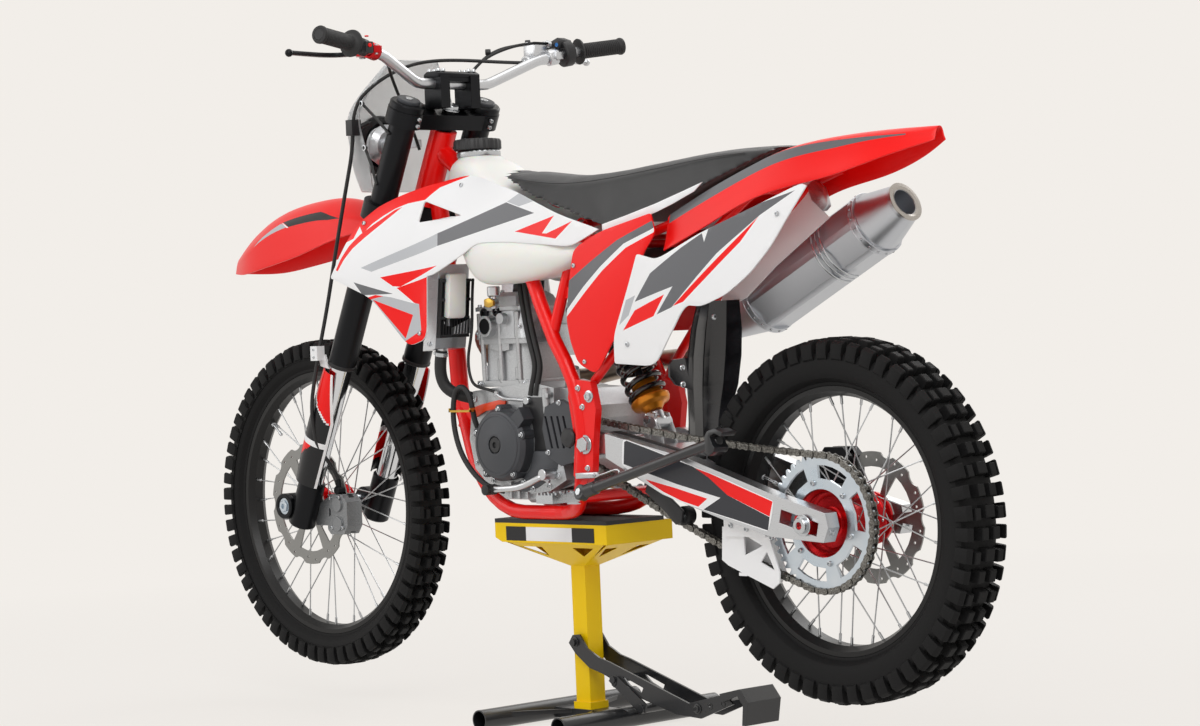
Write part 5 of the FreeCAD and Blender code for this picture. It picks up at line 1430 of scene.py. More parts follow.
class BIKE_OT_tank(bpy.types.Operator):
    """Makes the moulded tank, its neck and the fuel tap"""
    bl_idname = "bike.tank"
    bl_label = "Tank"

    def execute(self, context):
        parts = []
        rows = []
        for x, half, low, high in ((1030, 26, 660, 700), (1008, 42, 620, 712), (985, 54, 590, 717),
                (955, 66, 572, 718), (925, 73, 560, 713), (900, 77, 555, 699), (876, 79, 552, 678),
                (836, 81, 550, 652), (760, 82, 548, 612), (640, 76, 548, 572)):
            drop = min(34, high - low - 4)
            row = []
            for k in range(17):
                turn = math.pi * k / 16
                side = math.copysign(abs(math.cos(turn)) ** 0.8, math.cos(turn))
                row.append((x, half * side, high - drop + drop * max(math.sin(turn), 0) ** 0.9))
            row += [(x, -half, low + (high - drop - low) * 0.4), (x, -half + 6, low),
                    (x, 0, low), (x, half - 6, low), (x, half, low + (high - drop - low) * 0.4)]
            rows.append(row)
        parts.append(self.loft(rows))
        for side in (1, -1):
            rows = []
            for x, inside, out, low, high in ((530, 66, 118, 502, 516), (536, 62, 124, 498, 518),
                    (575, 58, 136, 482, 526), (619, 54, 144, 470, 536), (660, 52, 148, 462, 544),
                    (700, 50, 150, 457, 550), (745, 50, 151, 454, 556), (790, 50, 151, 453, 562),
                    (830, 50, 148, 460, 570), (860, 50, 140, 480, 578), (884, 50, 128, 506, 584),
                    (930, 40, 92, 548, 600)):
                middle, half = (low + high) / 2, (high - low) / 2
                row = [(x, side * inside, low + 4), (x, side * inside, middle),
                       (x, side * inside, high)]
                for k in range(13):
                    turn = math.radians(90 - 15 * k)
                    bulge = abs(math.cos(turn)) ** 0.7
                    row.append((x, side * (out - 34 + 34 * bulge), middle + half * math.sin(turn)))
                rows.append(row)
            parts.append(self.loft(rows))
        parts.append(lathe_points([(0.01, -8), (58, -8), (54, 4), (46, 14), (43, 22), (42.5, 27),
            (0.01, 27)], 48, (960, 0, 690), (0.03, 0, 1)))
        tank = outward(place("tank_shell", *merged(parts), "natural_polyethylene", "frame"))
        modified(tank, "joined", "REMESH", mode="VOXEL", voxel_size=0.0042)
        finished(modified(tank, "even", "SMOOTH", factor=0.6, iterations=9), 180)
        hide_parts("fuel_tank")
        profile = [(0.01, 0), (44, 0), (45, 3), (45, 9), (43.5, 11), (0.01, 11)]
        lathe("cap_seal", profile, (963.5, 0, 715), (0.03, 0, 1), "bright_screw_steel", "frame",
            64)
        grip = []
        for k in range(96):
            turn = 2 * math.pi * k / 96
            reach = 47 + (1.2 if k % 4 < 2 else -0.6)
            grip.append((966 + reach * math.cos(turn), reach * math.sin(turn)))
        rings = [[(x, y, z) for x, y in grip] for z in (731, 746)]
        top = [[(966 + (x - 966) * s, y * s, z) for x, y in grip] for s, z in ((0.95, 750.5),
            (0.72, 752), (0.68, 749.5), (0.01, 749.5))]
        low = [[(966 + (x - 966) * 0.95, y * 0.95, 729) for x, y in grip]]
        cap = place("filler_cap", *self.strip(low + rings + top), "black_polypropylene", "frame")
        outward(cap)
        finished(cap, 38)
        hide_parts("fuel_cap")
        tap = [drum((822, 100, 452), (822, 100, 432), 13, 24, 2), drum((822, 100, 434),
            (822, 100, 408), 7, 20, 1), drum((822, 94, 420), (822, 112, 420), 9, 24, 1.5)]
        joined("fuel_tap_body", tap, "satin_aluminium", "frame")
        slab("fuel_tap_lever", [(832, 427), (832, 413), (818, 410), (804, 414), (804, 424),
            (818, 430)], 112, 119, "brass_plating", "frame", 2.5)
        return {"FINISHED"}

    def strip(self, rings):
        """Faces between rings, the first and last capped."""
        count = len(rings[0])
        verts = [spot for one in rings for spot in one]
        return verts, between(len(rings), count) + [
            tuple(range(count)), tuple(range(len(verts) - count, len(verts)))]

    def loft(self, rows):
        """A closed loft with smooth lengthwise lines."""
        xs = [row[0][0] for row in rows]
        order = np.argsort(xs)
        count = len(rows[0])
        lines = []
        for k in range(count):
            lines.append([natural([xs[i] for i in order], [rows[i][k][axis] for i in order])
                          for axis in (1, 2)])
        fine = []
        for x in np.linspace(min(xs), max(xs), 40):
            fine.append([(float(x), y(x), z(x)) for y, z in lines])
        return self.strip(fine)


class BIKE_OT_fork(bpy.types.Operator):
    """Makes the fork guards, the caps, the seals and the clamp screws"""
    bl_idname = "bike.fork"
    bl_label = "Fork"

    def execute(self, context):
        for side, name in ((1, "fork_guard_left"), (-1, "fork_guard_right")):
            verts, faces = [], []
            turns, downs = 57, 65
            for i in range(downs):
                down = 596 + 254 * i / (downs - 1)
                outer = 116 + 42 * min(1.0, i / (downs * 0.4))
                for j in range(turns):
                    a = math.radians(-104 + (104 + outer) * j / (turns - 1))
                    reach = 34 + 4.0 * math.sin(math.pi * i / (downs - 1))
                    spot = on_fork(down, side * (FORK_SPREAD + reach * math.sin(a)),
                                   reach * math.cos(a))
                    verts.append(tuple(spot))
            for i in range(downs - 1):
                for j in range(turns - 1):
                    quad = (i * turns + j, (i + 1) * turns + j, (i + 1) * turns + j + 1,
                            i * turns + j + 1)
                    faces.append(quad if side > 0 else tuple(reversed(quad)))
            kept = [face for face in faces
                    if all(side * verts[k][1] > 74.5 for k in face)]
            obj = place(name, verts, kept, "black_film", "steering", "red_plastic")
            mesh = obj.data
            for finish in ("red_film", "white_film"):
                mesh.materials.append(MATERIALS[finish])
            for polygon in mesh.polygons:
                n = min(polygon.vertices)
                u, v = (n % turns) / (turns - 1), (n // turns) / (downs - 1)
                polygon.material_index = self.ink(u, v)
            without_loose(obj)
            modified(obj, "wall", "SOLIDIFY", thickness=0.0026, offset=0.0,
                     material_offset_rim=0)
            finished(obj, 40)
            if side == 1:
                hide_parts("fork_guards")
        joined("fork_cap_nuts", [fork_round(side, -12, 2, 8, 24, 1.0) for side in (1, -1)],
               "bright_screw_steel", "steering")
        collars = place("clamp_collars", *merged(
            [fork_round(side, -3, 16, 36.5, 56, 3) for side in (1, -1)]),
            "black_anodised_aluminium", "steering")
        finished(bevelled(outward(collars), 2.0, 2, 40))
        joined("fork_caps", [fork_round(side, -9.6, -1, 24, 48, 1.5) for side in (1, -1)],
               "dark_cast_enamel", "steering")
        joined("fork_seals", [fork_round(side, *spot, 48, 2) for side in (1, -1)
                              for spot in ((574, 583, 30.5), (262, 270, 30.2))],
               "moulded_rubber", "steering")
        spots = []
        for down in (20, 34, 226, 240):
            spot = on_fork(down, 96, 0) - FORK_AHEAD * 39
            spots.append((tuple(spot), tuple(-FORK_AHEAD)))
        screws("clamp_screws", both_sides(spots), 5.0, 5.0, "steering")
        spots = [((x, y, 893.1), (0, 0, 1)) for x in (1022, 1050) for y in (34, 47)]
        screws("bar_clamp_screws", both_sides(spots), 4.4, 6.0, "steering")
        stem = on_fork(6, 0, -14)
        joined("stem_nut", [drum(stem, stem - FORK_DOWN * 12, 17, 6, 1.5),
                            drum(stem - FORK_DOWN * 0.2, stem - FORK_DOWN * 3, 21, 32, 1)],
               "bright_screw_steel", "steering")
        lathe("front_axle_nut", [(6, 0), (12, 0), (13, 1), (13, 3.4), (12, 4.4), (6, 4.4)],
              FRONT_AXLE + Vector((0, 130.6, 0)), (0, 1, 0), "zinc_plated_steel", "steering", 6)
        return {"FINISHED"}

    def ink(self, u, v):
        """Which film a place on the guard has: 0 black, 1 red, 2 white."""
        if u > 0.955 or u < 0.02:
            return 2
        curve = 0.58 + 0.34 * (v / 0.42) ** 2
        if v < 0.42 and u > curve:
            return 2 if u < curve + 0.035 else 1
        if 0.585 < v < 0.63:
            return 2
        if 0.63 <= v < 0.88 and u < 0.80 - (v - 0.63) * 1.5:
            return 1
        return 0


class BIKE_OT_engine(bpy.types.Operator):
    """Adds the engine's screws, plugs, brackets and breather hose"""
    bl_idname = "bike.engine"
    bl_label = "Engine details"

    def execute(self, context):
        spots = bolt_circle(5, 70, (826, 100.1, 141), 1, math.radians(20))
        for x, y, z in ((878, 72.1, 68), (926, 72.1, 104), (672, 84.1, 80), (700, 84.1, 60),
                (748, 84.1, 54), (774, 84.1, 68), (690, 73.1, 214), (780, 66.2, 260),
                (912, 66.2, 260), (930, 72.1, 226), (610, 96.1, 200), (686, 96.1, 126),
                (650, 96.1, 222), (606, 96.1, 116), (790, 63.2, 372), (914, 63.6, 360)):
            spots.append(((x, y, z), (0, 1, 0)))
        spots += bolt_circle(6, 76, (742, -92.2, 152), -1, math.radians(15))
        spots += bolt_circle(3, 29, (878, -110.2, 118), -1, math.radians(40))
        spots += [((x, y, 412.1), (0, 0, 1)) for x in (792, 916) for y in (-56, 56)]
        spots += [((x, y, 439.6), (0, 0, 1)) for x in (824, 884) for y in (-22, 22)]
        screws("case_screws", spots, 3.9, 5.5, hexagon=True)
        lathe("ignition_plug", [(0.01, 0), (15.5, 0), (15.5, 2.6), (14, 4), (6, 4), (5.4, 0.8),
            (0.01, 0.8)], (826, 108, 141), (0, 1, 0), "black_polypropylene", "frame", 40)
        lathe("ignition_step", [(56, -2), (62, -2), (60.5, 1.2), (56, 2.0)], (826, 106, 141),
              (0, 1, 0), "dark_cast_enamel", "frame", 72)
        dark = [lathe_points([(0.01, 0), (15.7, 0), (15.7, 2.6), (14.2, 3.6), (0.01, 3.2)], 36,
            (876, 77.8, 374), (0, 1, 0))]
        for x, z in ((856, 403), (893, 400)):
            dark.append(lathe_points([(0.01, 0), (10.5, 0), (10.5, 7), (9, 8.6), (5, 8.6),
                                      (4.4, 5), (0.01, 5)], 28, (x, 60, z), (0, 1, 0)))
        joined("head_plugs", dark, "black_anodised_aluminium", "frame", slot="dark_alloy")
        studs = [drum((x, 58, 267), (x, 58, top), 6.4, 24, 1.2) for x, top in ((858, 308),
            (806, 292), (902, 296))]
        studs += [drum((800, 60, 350), (800, 60, 402), 7.5, 24, 1.5),
            drum((912, 59, 350), (912, 59, 400), 7.5, 24, 1.5),
            drum((713, 73, 250), (710, 73, 200), 8.5, 24, 1.5),
            drum((700, 74, 236), (700, 84, 236), 6, 6, 0.6), drum((846, -62, 262), (846, -62, 400),
            6, 20, 1.2)]
        studs.append(prism([(884, 350), (884, 330), (856, 322), (826, 326), (826, 350)], 52, 63))
        joined("cylinder_bosses", studs, "blasted_cast_aluminium", "frame")
        joined("plug_cap", [drum((850, 0, 438), (848, 0, 470), 13, 24, 2),
            drum((850, 0, 438), (850, 0, 446), 19, 32, 1.5)], "moulded_rubber", "frame")
        slab("engine_bracket", [(926, 214), (919, 194), (905, 200), (891, 206), (832, 214),
            (829, 226), (849, 228), (900, 220)], 72.6, 76.6, "orange_paint", "frame", 0.8)
        # A black plate on the case between the ignition cover and the frame: painted shadow for
        # the shade that falls there.
        slab("case_shadow_cover", [(776, 232), (716, 232), (694, 212), (672, 190), (668, 130),
            (690, 104), (730, 92), (760, 100), (752, 118), (748, 150), (756, 190), (780, 214)],
            72.2, 75, "black_polypropylene", "frame", 0.8)
        slab("case_crescent", [(668, 118), (676, 92), (700, 72), (734, 56), (770, 48), (806, 50),
            (812, 62), (780, 72), (756, 92), (748, 112), (742, 128), (700, 128)], 72.2, 84.9,
            "dark_cast_enamel", "frame", 1.6)
        arm = [swept(curved([(852, 78, 240), (836, 79, 233), (806, 79, 229), (762, 78, 226)], 6),
            3.0, 10), drum((762, 72, 226), (762, 83, 226), 8, 20, 1),
            drum((852, 78, 236), (852, 78, 246), 5, 12, 0.8)]
        joined("clutch_arm", arm, "bright_screw_steel", "frame")
        pipe("clutch_cable", [(852, 79, 243), (872, 80, 250), (900, 80, 252), (925, 78, 262),
            (938, 74, 290), (940, 72, 320), (930, 70, 352), (926, 68, 390), (932, 62, 430),
            (940, 50, 470)], 3.0, "moulded_rubber", "frame")
        for name, shift in (("breather_hose_a", 0.0), ("breather_hose_b", -15.0)):
            pipe(name, [(786 + shift, 64, 458), (779 + shift, 65, 420), (769 + shift, 66, 364),
                (750 + shift, 66, 310), (744 + shift, 68, 286), (752 + shift, 72, 258),
                (758 + shift, 72, 236)], 5.6, "moulded_rubber", "frame")
        pipe("breather_loop", [(838, 80, 48), (858, 94, 54), (880, 100, 66), (905, 101, 84),
            (934, 101, 114), (952, 100, 146), (961, 100, 184), (961, 99, 220), (954, 98, 250),
            (936, 97, 259), (918, 96, 248), (909, 95, 226), (909, 92, 200), (909, 84, 176),
            (906, 74, 158)], 5.4, "moulded_rubber", "frame", sides=4)
        joined("loop_clip", [brick((902, 92.5, 206), (968, 96, 210)), brick((902, 102, 206),
            (968, 105.4, 210)), brick((902, 92.5, 206), (905, 105.4, 214)), brick((965, 92.5, 206),
            (968, 105.4, 214))], "brass_plating", "frame")
        lathe("sprocket_guard", [(0.01, -25), (9, -25), (9, 0), (17, 0), (18.5, 2), (18.5, 6),
                                 (16, 9), (0.01, 10.5)], (596, 121.4, 156), (0, 1, 0),
              "black_polypropylene", "frame", 48)
        joined("gear_lever_rubber", [lathe_points([(8, -14), (10, -14), (10.6, -10), (9.6, -7),
                                                   (10.6, -4), (9.6, -1), (10.6, 2), (9.6, 5),
                                                   (10.6, 8), (10.4, 14), (8, 15), (0.01, 15)],
                                                  28, (810, 142, 56), (0, 1, 0))],
               "moulded_rubber", "frame")
        joined("gear_lever_boss", [drum((690, 84, 84), (690, 114, 84), 11, 28, 1.2),
            drum((700, 99, 76), (684, 99, 70), 4, 12, 0.6)], "satin_aluminium", "frame")
        spots = [((537, 122.2, 234), (0, 1, 0))]
        screws("gusset_bolt", both_sides(spots), 8.6, 7.0, hexagon=True)
        spots = [((x, 122.2, z), (0, 1, 0)) for x, z in ((566, 250), (556, 214), (548, 98),
            (572, 84))]
        screws("frame_bolts", both_sides(spots), 4.6, 5.0, hexagon=True)
        joined("swingarm_pivot_nut", [drum((553, y, 143), (553, y + way * 9, 143), 15, 6, 1.2)
                                      for y, way in ((124, 1), (-124, -1))]
               + [drum((553, y, 143), (553, y + way * 3, 143), 18.5, 32, 0.8)
                  for y, way in ((122.2, 1), (-122.2, -1))],
               "bright_screw_steel", "frame")
        welds = []
        for spot, way, radius in (((646, 108, 352), (-20, -4, 58), 12.5),
                ((575, 84, 560), (25, -84, 15), 12.0), ((1032, 0, 180), (-20, 0, -50), 19.5),
                ((562, 116, 150), (13, -2, -90), 15.4)):
            for side in (1, -1):
                start = Vector((spot[0], spot[1] * side, spot[2]))
                course = Vector((way[0], way[1] * side, way[2])).normalized()
                reach = course.orthogonal().normalized()
                around = course.cross(reach)
                points = [start + (reach * math.cos(a) + around * math.sin(a)) * radius
                          for a in np.linspace(0, 2 * math.pi, 49)]
                welds.append(swept([p + course * 0.9 * math.sin(9 * k) for k, p in
                                    enumerate(points)], 1.7, 6))
        joined("frame_welds", welds, "red_powder_coat", "frame")
        return {"FINISHED"}


class BIKE_OT_cooling(bpy.types.Operator):
    """Makes the radiator louvres, the catch bottle and the coolant hoses"""
    bl_idname = "bike.cooling"
    bl_label = "Cooling"

    def execute(self, context):
        for side, name in ((1, "radiator_louvres_left"), (-1, "radiator_louvres_right")):
            parts = []
            for y in np.linspace(64, 136, 11):
                y *= side
                verts = [(x + shift, y + half, z) for x, z in ((942, 471), (956, 355))
                         for shift, half in ((0, -1.6), (0, 1.6), (-9, 1.2), (-9, -1.2))]
                parts.append((verts, [(0, 1, 2, 3), (7, 6, 5, 4), (0, 4, 5, 1), (1, 5, 6, 2),
                                      (2, 6, 7, 3), (3, 7, 4, 0)]))
            for z, x in ((468, 941), (430, 946), (394, 951), (358, 955)):
                parts.append(brick((x - 10, min(62 * side, 138 * side), z - 3),
                                   (x - 1, max(62 * side, 138 * side), z + 3)))
            joined(name, parts, "black_polypropylene", "frame")
        slab("catch_bottle", [(918, 480), (934, 482), (944, 402), (946, 396), (931, 392),
            (926, 398)], 84, 128, "natural_polyethylene", "frame", 5)
        parts = []
        for side in (1, -1):
            for k in range(6):
                y = side * (66 + 8 * k)
                parts.append(prism([(934, 392 - 3 * k), (954, 386 - 3 * k), (956, 358),
                    (938, 362)], y - 1.2, y + 1.2))
            parts.append(drum((980, side * 106, 336), (981, side * 106, 318), 11, 28, 1))
            parts.append(drum((966, side * 100, 486), (966, side * 100, 506), 9, 24, 1))
            parts.append(prism([(938, 392), (952, 392), (952, 378), (938, 378)], side * 119 - 2,
                side * 119 + 2))
        joined("radiator_fins", parts, "satin_aluminium", "frame")
        pipe("coolant_hose_left", [(980, 106, 331), (986, 106, 308), (991, 104, 284),
            (986, 98, 256), (966, 84, 240), (940, 66, 233), (918, 48, 226)], 12, "moulded_rubber",
            "frame", sides=7)
        pipe("coolant_hose_right", [(980, -112, 331), (987, -120, 306), (989, -124, 272),
            (978, -120, 232), (958, -110, 196), (938, -103, 168), (920, -98, 148)], 12,
            "moulded_rubber", "frame", sides=7)
        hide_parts("coolant_hoses")
        bands = clip_band((980.5, 106, 326), (0.2, 0, -1), 13.2) + clip_band((934, 62, 231.6),
            (-1, -0.8, -0.3), 13.2) + clip_band((981, -112, 326), (0.25, -0.2, -1),
            13.2) + clip_band((936, -102.6, 166), (-0.7, 0.2, -0.8), 13.2)
        joined("hose_clips", bands, "bright_screw_steel", "frame")
        spots = [((951, 119, 385), (-0.9, 0.4, 0)), ((962, 139.6, 482), (0, 1, 0)),
            ((976, 139.6, 344), (0, 1, 0))]
        screws("radiator_screws", spots, 4.2, 5, hexagon=True)
        return {"FINISHED"}


class BIKE_OT_suspension(bpy.types.Operator):
    """Makes the shock with its coil spring, and dresses the swingarm"""
    bl_idname = "bike.suspension"
    bl_label = "Rear suspension"

    def execute(self, context):
        top, low = Vector((604, 0, 420)), Vector((474, 0, 176))
        along = (low - top).normalized()
        side = along.orthogonal().normalized()
        around = along.cross(side)
        coil = []
        turns, start, pitch = 7.6, 48.0, 22.6
        for k in range(int(turns * 28) + 1):
            turn = 2 * math.pi * k / 28
            flat = min(1.0, k / 20, (turns * 28 - k) / 20)
            coil.append(top + along * (start + pitch * k / 28 * (0.985 + 0.015 * flat))
                        + (side * math.cos(turn) + around * math.sin(turn)) * 34.2)
        spring = joined("shock_spring", [swept(coil, 5.7, 12)], "black_spring_lacquer", "frame",
            60)
        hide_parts("shock")
        lathe("shock_body", [(0.01, 0), (16, 0), (22, 6), (27, 12), (27, 34), (38, 36), (39, 40),
            (39, 45), (27, 47), (24.5, 50), (24.5, 150), (21, 153), (8, 154), (8, 222),
            (0.01, 222)], top, along, "black_anodised_aluminium", "frame", 56, bevel=0.6,
            slot="dark_alloy")
        lathe("shock_spring_seat", [(8, 176), (20, 178), (25, 186), (26, 206), (30, 220),
            (38.5, 224), (39, 229), (36, 236), (24, 240), (16, 250), (8, 250)], top, along,
            "orange_anodised_aluminium", "frame", 56, bevel=0.6)
        joined("shock_clevis", [drum(low - along * 24, low, 15, 32, 2),
                                drum(low + Vector((0, -23, 2)), low + Vector((0, 23, 2)), 14, 32,
                                     2),
                                drum(top + Vector((0, -24, 0)), top + Vector((0, 24, 0)), 17, 32,
                                     2)], "satin_aluminium", "frame")
        bottle, foot = Vector((640, 52, 408)), Vector((590, 52, 330))
        way = (foot - bottle).normalized()
        length = (foot - bottle).length
        lathe("shock_reservoir", [(0.01, 0), (18, 0), (22, 3), (22, 12), (21, 13), (21, 18),
            (22, 19), (22, length - 8), (20, length - 3), (16, length), (0.01, length)], bottle,
            way, "black_anodised_aluminium", "frame", 48, slot="dark_alloy")
        slab("shock_bridge", [(588, 398), (632, 398), (632, 411), (588, 411)], 0, 52,
             "black_anodised_aluminium", "frame", 3, slot="dark_alloy")
        lathe("reservoir_screw", [(0.01, 0), (6, 0), (6, 3), (3, 4), (0.01, 4)], foot, way,
              "bright_screw_steel", "frame", 6)
        link = [(498, 186), (484, 199), (468, 196), (452, 160), (446, 130), (450, 92), (458, 62),
            (468, 54), (480, 60), (486, 92), (488, 120), (496, 158)]
        slab("shock_link_left", link, 14, 22, "blasted_cast_aluminium", "frame", 2)
        slab("shock_link_right", link, -22, -14, "blasted_cast_aluminium", "frame", 2)
        joined("link_bolts", [drum((x, -27, z), (x, 27, z), radius, 6, 1)
                              for x, z, radius in ((484, 184, 8), (466, 68, 8), (466, 124, 7))],
               "bright_screw_steel", "frame")

        base = [(446, 152), (408, 142), (328, 120), (272, 103), (200, 83), (73, 42), (78, 15),
            (89, -13), (160, 3), (254, 24), (319, 39), (372, 58), (412, 77), (454, 101),
            (461, 106), (457, 148), (453, 152)]
        dark = [(446, 150), (408, 140), (328, 118), (272, 102), (234, 83), (187, 51), (84, 13),
            (89, -11), (160, 5), (250, 24), (205, 46), (317, 70), (407, 93), (456, 106),
            (452, 147)]
        wedge = [(272, 101), (230, 90), (75, 41), (84, 14), (187, 51), (234, 83)]
        lower = [(399, 78), (318, 62), (239, 44), (263, 29), (306, 39), (352, 55), (385, 70)]
        panel_pair("swingarm_graphic", lambda x, z: 116.0, base, "white_film", 0.4,
                   (("red_film", wedge), ("red_film", lower), ("dark_grey_film", dark)),
                   step=30, proud=0.5, edge=0)
        collar = []
        for way in (1, -1):
            collar.append(drum((0, way * 120, 0), (0, way * 123, 0), 19, 40, 0.8))
            collar.append(lathe_points([(7, 0), (13.5, 0), (14.5, 1), (14.5, 8), (13, 9.5),
                                        (7, 9.5)], 40, (0, way * 122, 0), (0, way, 0)))
        joined("rear_axle_washers", collar, "bright_screw_steel", "frame")
        tail = tuple(Vector((math.cos(math.radians(14.5)), 0, math.sin(math.radians(14.5)))))
        bolts = []
        for way in (1, -1):
            nose = Vector((-38, way * 101, -10))
            bolts.append(drum(nose, nose - Vector(tail) * 20, 4, 12, 0.6))
            bolts.append(drum(nose - Vector(tail) * 8, nose - Vector(tail) * 15, 7.5, 6, 0.8))
        joined("chain_adjusters", bolts, "bright_screw_steel", "frame")
        spots = [((103, 92.2, -26), (0, 1, 0)), ((166, 92.2, -12), (0, 1, 0)),
            ((205, 92.2, -6), (0, 1, 0))]
        screws("guide_screws", spots, 5.0, 4.4)
        lathe("chain_roller", [(5, -10), (17, -10), (18, -8), (18, 8), (17, 10), (5, 10)],
              (344, 68, 8), (0, 1, 0), "moulded_rubber", "frame", 40)
        lathe("chain_roller_bolt", [(0.01, 0), (9, 0), (9, 1.5), (6, 1.5), (6, 6), (4, 7.5),
            (0.01, 7.5)], (344, 78, 8), (0, 1, 0), "bright_screw_steel", "frame", 24)
        slab("chain_roller_arm", [(420, 74), (392, 64), (330, 18), (334, -4), (350, -8), (372, 12),
            (428, 52)], 84.5, 92, "black_polypropylene", "frame", 2)
        joined("chain_roller_pin", [drum((344, 56, 8), (344, 90, 8), 4.6, 16, 0.6)],
               "bright_screw_steel", "frame")
        slab("chain_slider", [(512, 166), (430, 149), (330, 128), (286, 119), (286, 112),
            (330, 121), (430, 142), (512, 158), (536, 150), (536, 162)], 66, 87,
            "black_polypropylene", "frame", 2)
        return {"FINISHED"}


class BIKE_OT_exhaust(bpy.types.Operator):
    """Adds the silencer's rivets, strap and welds"""
    bl_idname = "bike.exhaust"
    bl_label = "Exhaust"

    def execute(self, context):
        front, rear = Vector((392, -128, 352)), Vector((-52, -128, 566))
        along = (rear - front).normalized()
        length = (rear - front).length
        side = Vector((0, 1, 0))
        up = along.cross(side)
        spots = []
        for down in (103.0, length - 83.0):
            for k in range(18):
                turn = 2 * math.pi * (k + 0.5) / 18
                ray = side * math.cos(turn) + up * math.sin(turn)
                spots.append((tuple(front + along * down + ray * 61.1), tuple(ray)))
        screws("silencer_rivets", spots, 2.6, 1.5)
        rings = []
        for down, radius, width in ((97.5, 61.6, 2.4), (109, 61.6, 2.4), (length - 89, 61.6, 2.4),
                (length - 77, 61.6, 2.4)):
            rings.append(drum(front + along * (down - width / 2), front + along *
                              (down + width / 2), radius, 64, 0.8))
        joined("silencer_beads", rings, "brushed_silencer_aluminium", "frame")
        lathe("silencer_outlet", [(26, -40), (29, -40), (29, 0), (38.4, 0), (38.4, 2.4), (31, 3.6),
            (26, 1)], rear, along, "brushed_stainless", "frame", 56)
        strap = [front + along * (length * 0.62) + (side * math.cos(a) + up * math.sin(a)) * 63
                 for a in np.linspace(-1.0, 1.6, 28)]
        joined("silencer_strap", [swept(strap, 2.0, 8),
                                  swept([p + along * 22 for p in strap], 2.0, 8),
                                  swept([p + along * 11 for p in strap], 1.2, 8)],
               "bright_screw_steel", "frame")
        joint = [drum(front - along * 12, front + along * 10, 22.5, 40, 1),
                 drum(front - along * 6, front - along * 1, 24.5, 40, 1)]
        for turn in (0.6, 2.7, 4.8):
            ray = side * math.cos(turn) + up * math.sin(turn)
            hooks = []
            for k in range(73):
                a = 2 * math.pi * k / 9
                hooks.append(front + along * (-26 + 52 * k / 72) + ray * (30 + 2.6 * math.cos(a))
                             + along.cross(ray) * 2.6 * math.sin(a))
            joint.append(swept(hooks, 0.9, 5))
        joined("silencer_joint", joint, "brushed_stainless", "frame")
        return {"FINISHED"}


class BIKE_OT_mask(bpy.types.Operator):
    """Makes the headlight mask, its lamp and its straps"""
    bl_idname = "bike.mask"
    bl_label = "Mask and lamp"

    def execute(self, context):
        levels = ((662, 98, 1186, 1272), (708, 112, 1176, 1290), (762, 123, 1178, 1288),
            (816, 128, 1182, 1276), (880, 96, 1166, 1226), (930, 58, 1150, 1180))
        heights = [row[0] for row in levels]
        half, rear, front = [natural(heights, [row[k] for row in levels]) for k in (1, 2, 3)]
        lamp, beam = Vector((1232, 0, 756)), Vector((1, 0, 0.12)).normalized()
        verts, turns, rows = [], 57, 49
        for z in np.linspace(662, 930, rows):
            for turn in np.linspace(-math.pi / 2, math.pi / 2, turns):
                depth = abs(math.cos(turn)) ** 0.72
                verts.append((rear(z) + (front(z) - rear(z)) * depth, half(z) * math.sin(turn),
                              float(z)))
        faces = []
        for i in range(rows - 1):
            for j in range(turns - 1):
                face = (i * turns + j, i * turns + j + 1, (i + 1) * turns + j + 1,
                        (i + 1) * turns + j)
                middle = sum((Vector(verts[k]) for k in face), Vector()) / 4 - lamp
                if (middle - beam * middle.dot(beam)).length > 52:
                    faces.append(face)
        shell = place("mask_shell", verts, faces, "smoked_polycarbonate", "steering")
        without_loose(shell)
        modified(shell, "wall", "SOLIDIFY", thickness=0.0026, use_even_offset=True)
        finished(shell, 60)
        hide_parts("headlight_mask")
        lathe("lamp_bezel", [(47, 36), (58, 38), (61, 44), (61, 54), (58, 60), (53, 63), (48, 61),
                             (47, 50)], lamp, beam, "black_polypropylene", "steering", 72)
        lathe("lamp_bowl", [(0.01, 14), (16, 14), (24, 18), (40, 36), (50, 54), (49, 55), (39, 38),
            (23, 21), (15, 17), (0.01, 17)], lamp, beam, "hard_chrome", "steering", 64)
        lathe("lamp_bulb", [(0.01, 15), (6, 15), (6, 30), (4, 36), (0.01, 37)], lamp, beam,
              "clear_lens", "steering", 24)
        lathe("lamp_lens", [(0.01, 64), (22, 63), (40, 60), (48.5, 56), (48.5, 53), (39, 57),
                            (22, 60), (0.01, 61)], lamp, beam, "clear_lens", "steering", 64)
        joined("lamp_back", [drum(lamp - beam * 18, lamp + beam * 15, 22, 40, 3),
                             drum(lamp + beam * 12, lamp + beam * 38, 44, 48, 12),
                             brick((1150, -8, 748), (1232, 8, 764))],
               "satin_aluminium", "steering")
        parts = []
        for side in (1, -1):
            for z, down in ((838, 66), (748, 176)):
                start = Vector((rear(z) + 3, side * (half(z) - 3), z))
                leg = on_fork(down, side * FORK_SPREAD)
                parts.append(swept([start, (start + leg) / 2 + Vector((0, side * 12, 0)),
                                    leg + Vector((0, side * 29, 0)), leg], 3.2, 8))
                parts.append(ball(start, 5.0))
        joined("mask_straps", parts, "moulded_rubber", "steering")
        hooks = []
        for z, down in ((838, 66), (748, 176)):
            start = Vector((rear(z) + 3, half(z) + 1, z))
            hooks.append(swept([start + Vector((-4 + 5 * math.cos(a), 3, 5 * math.sin(a)))
                                for a in np.linspace(0, 5.2, 20)], 1.3, 6))
        joined("strap_hooks", hooks, "bright_screw_steel", "steering")
        return {"FINISHED"}


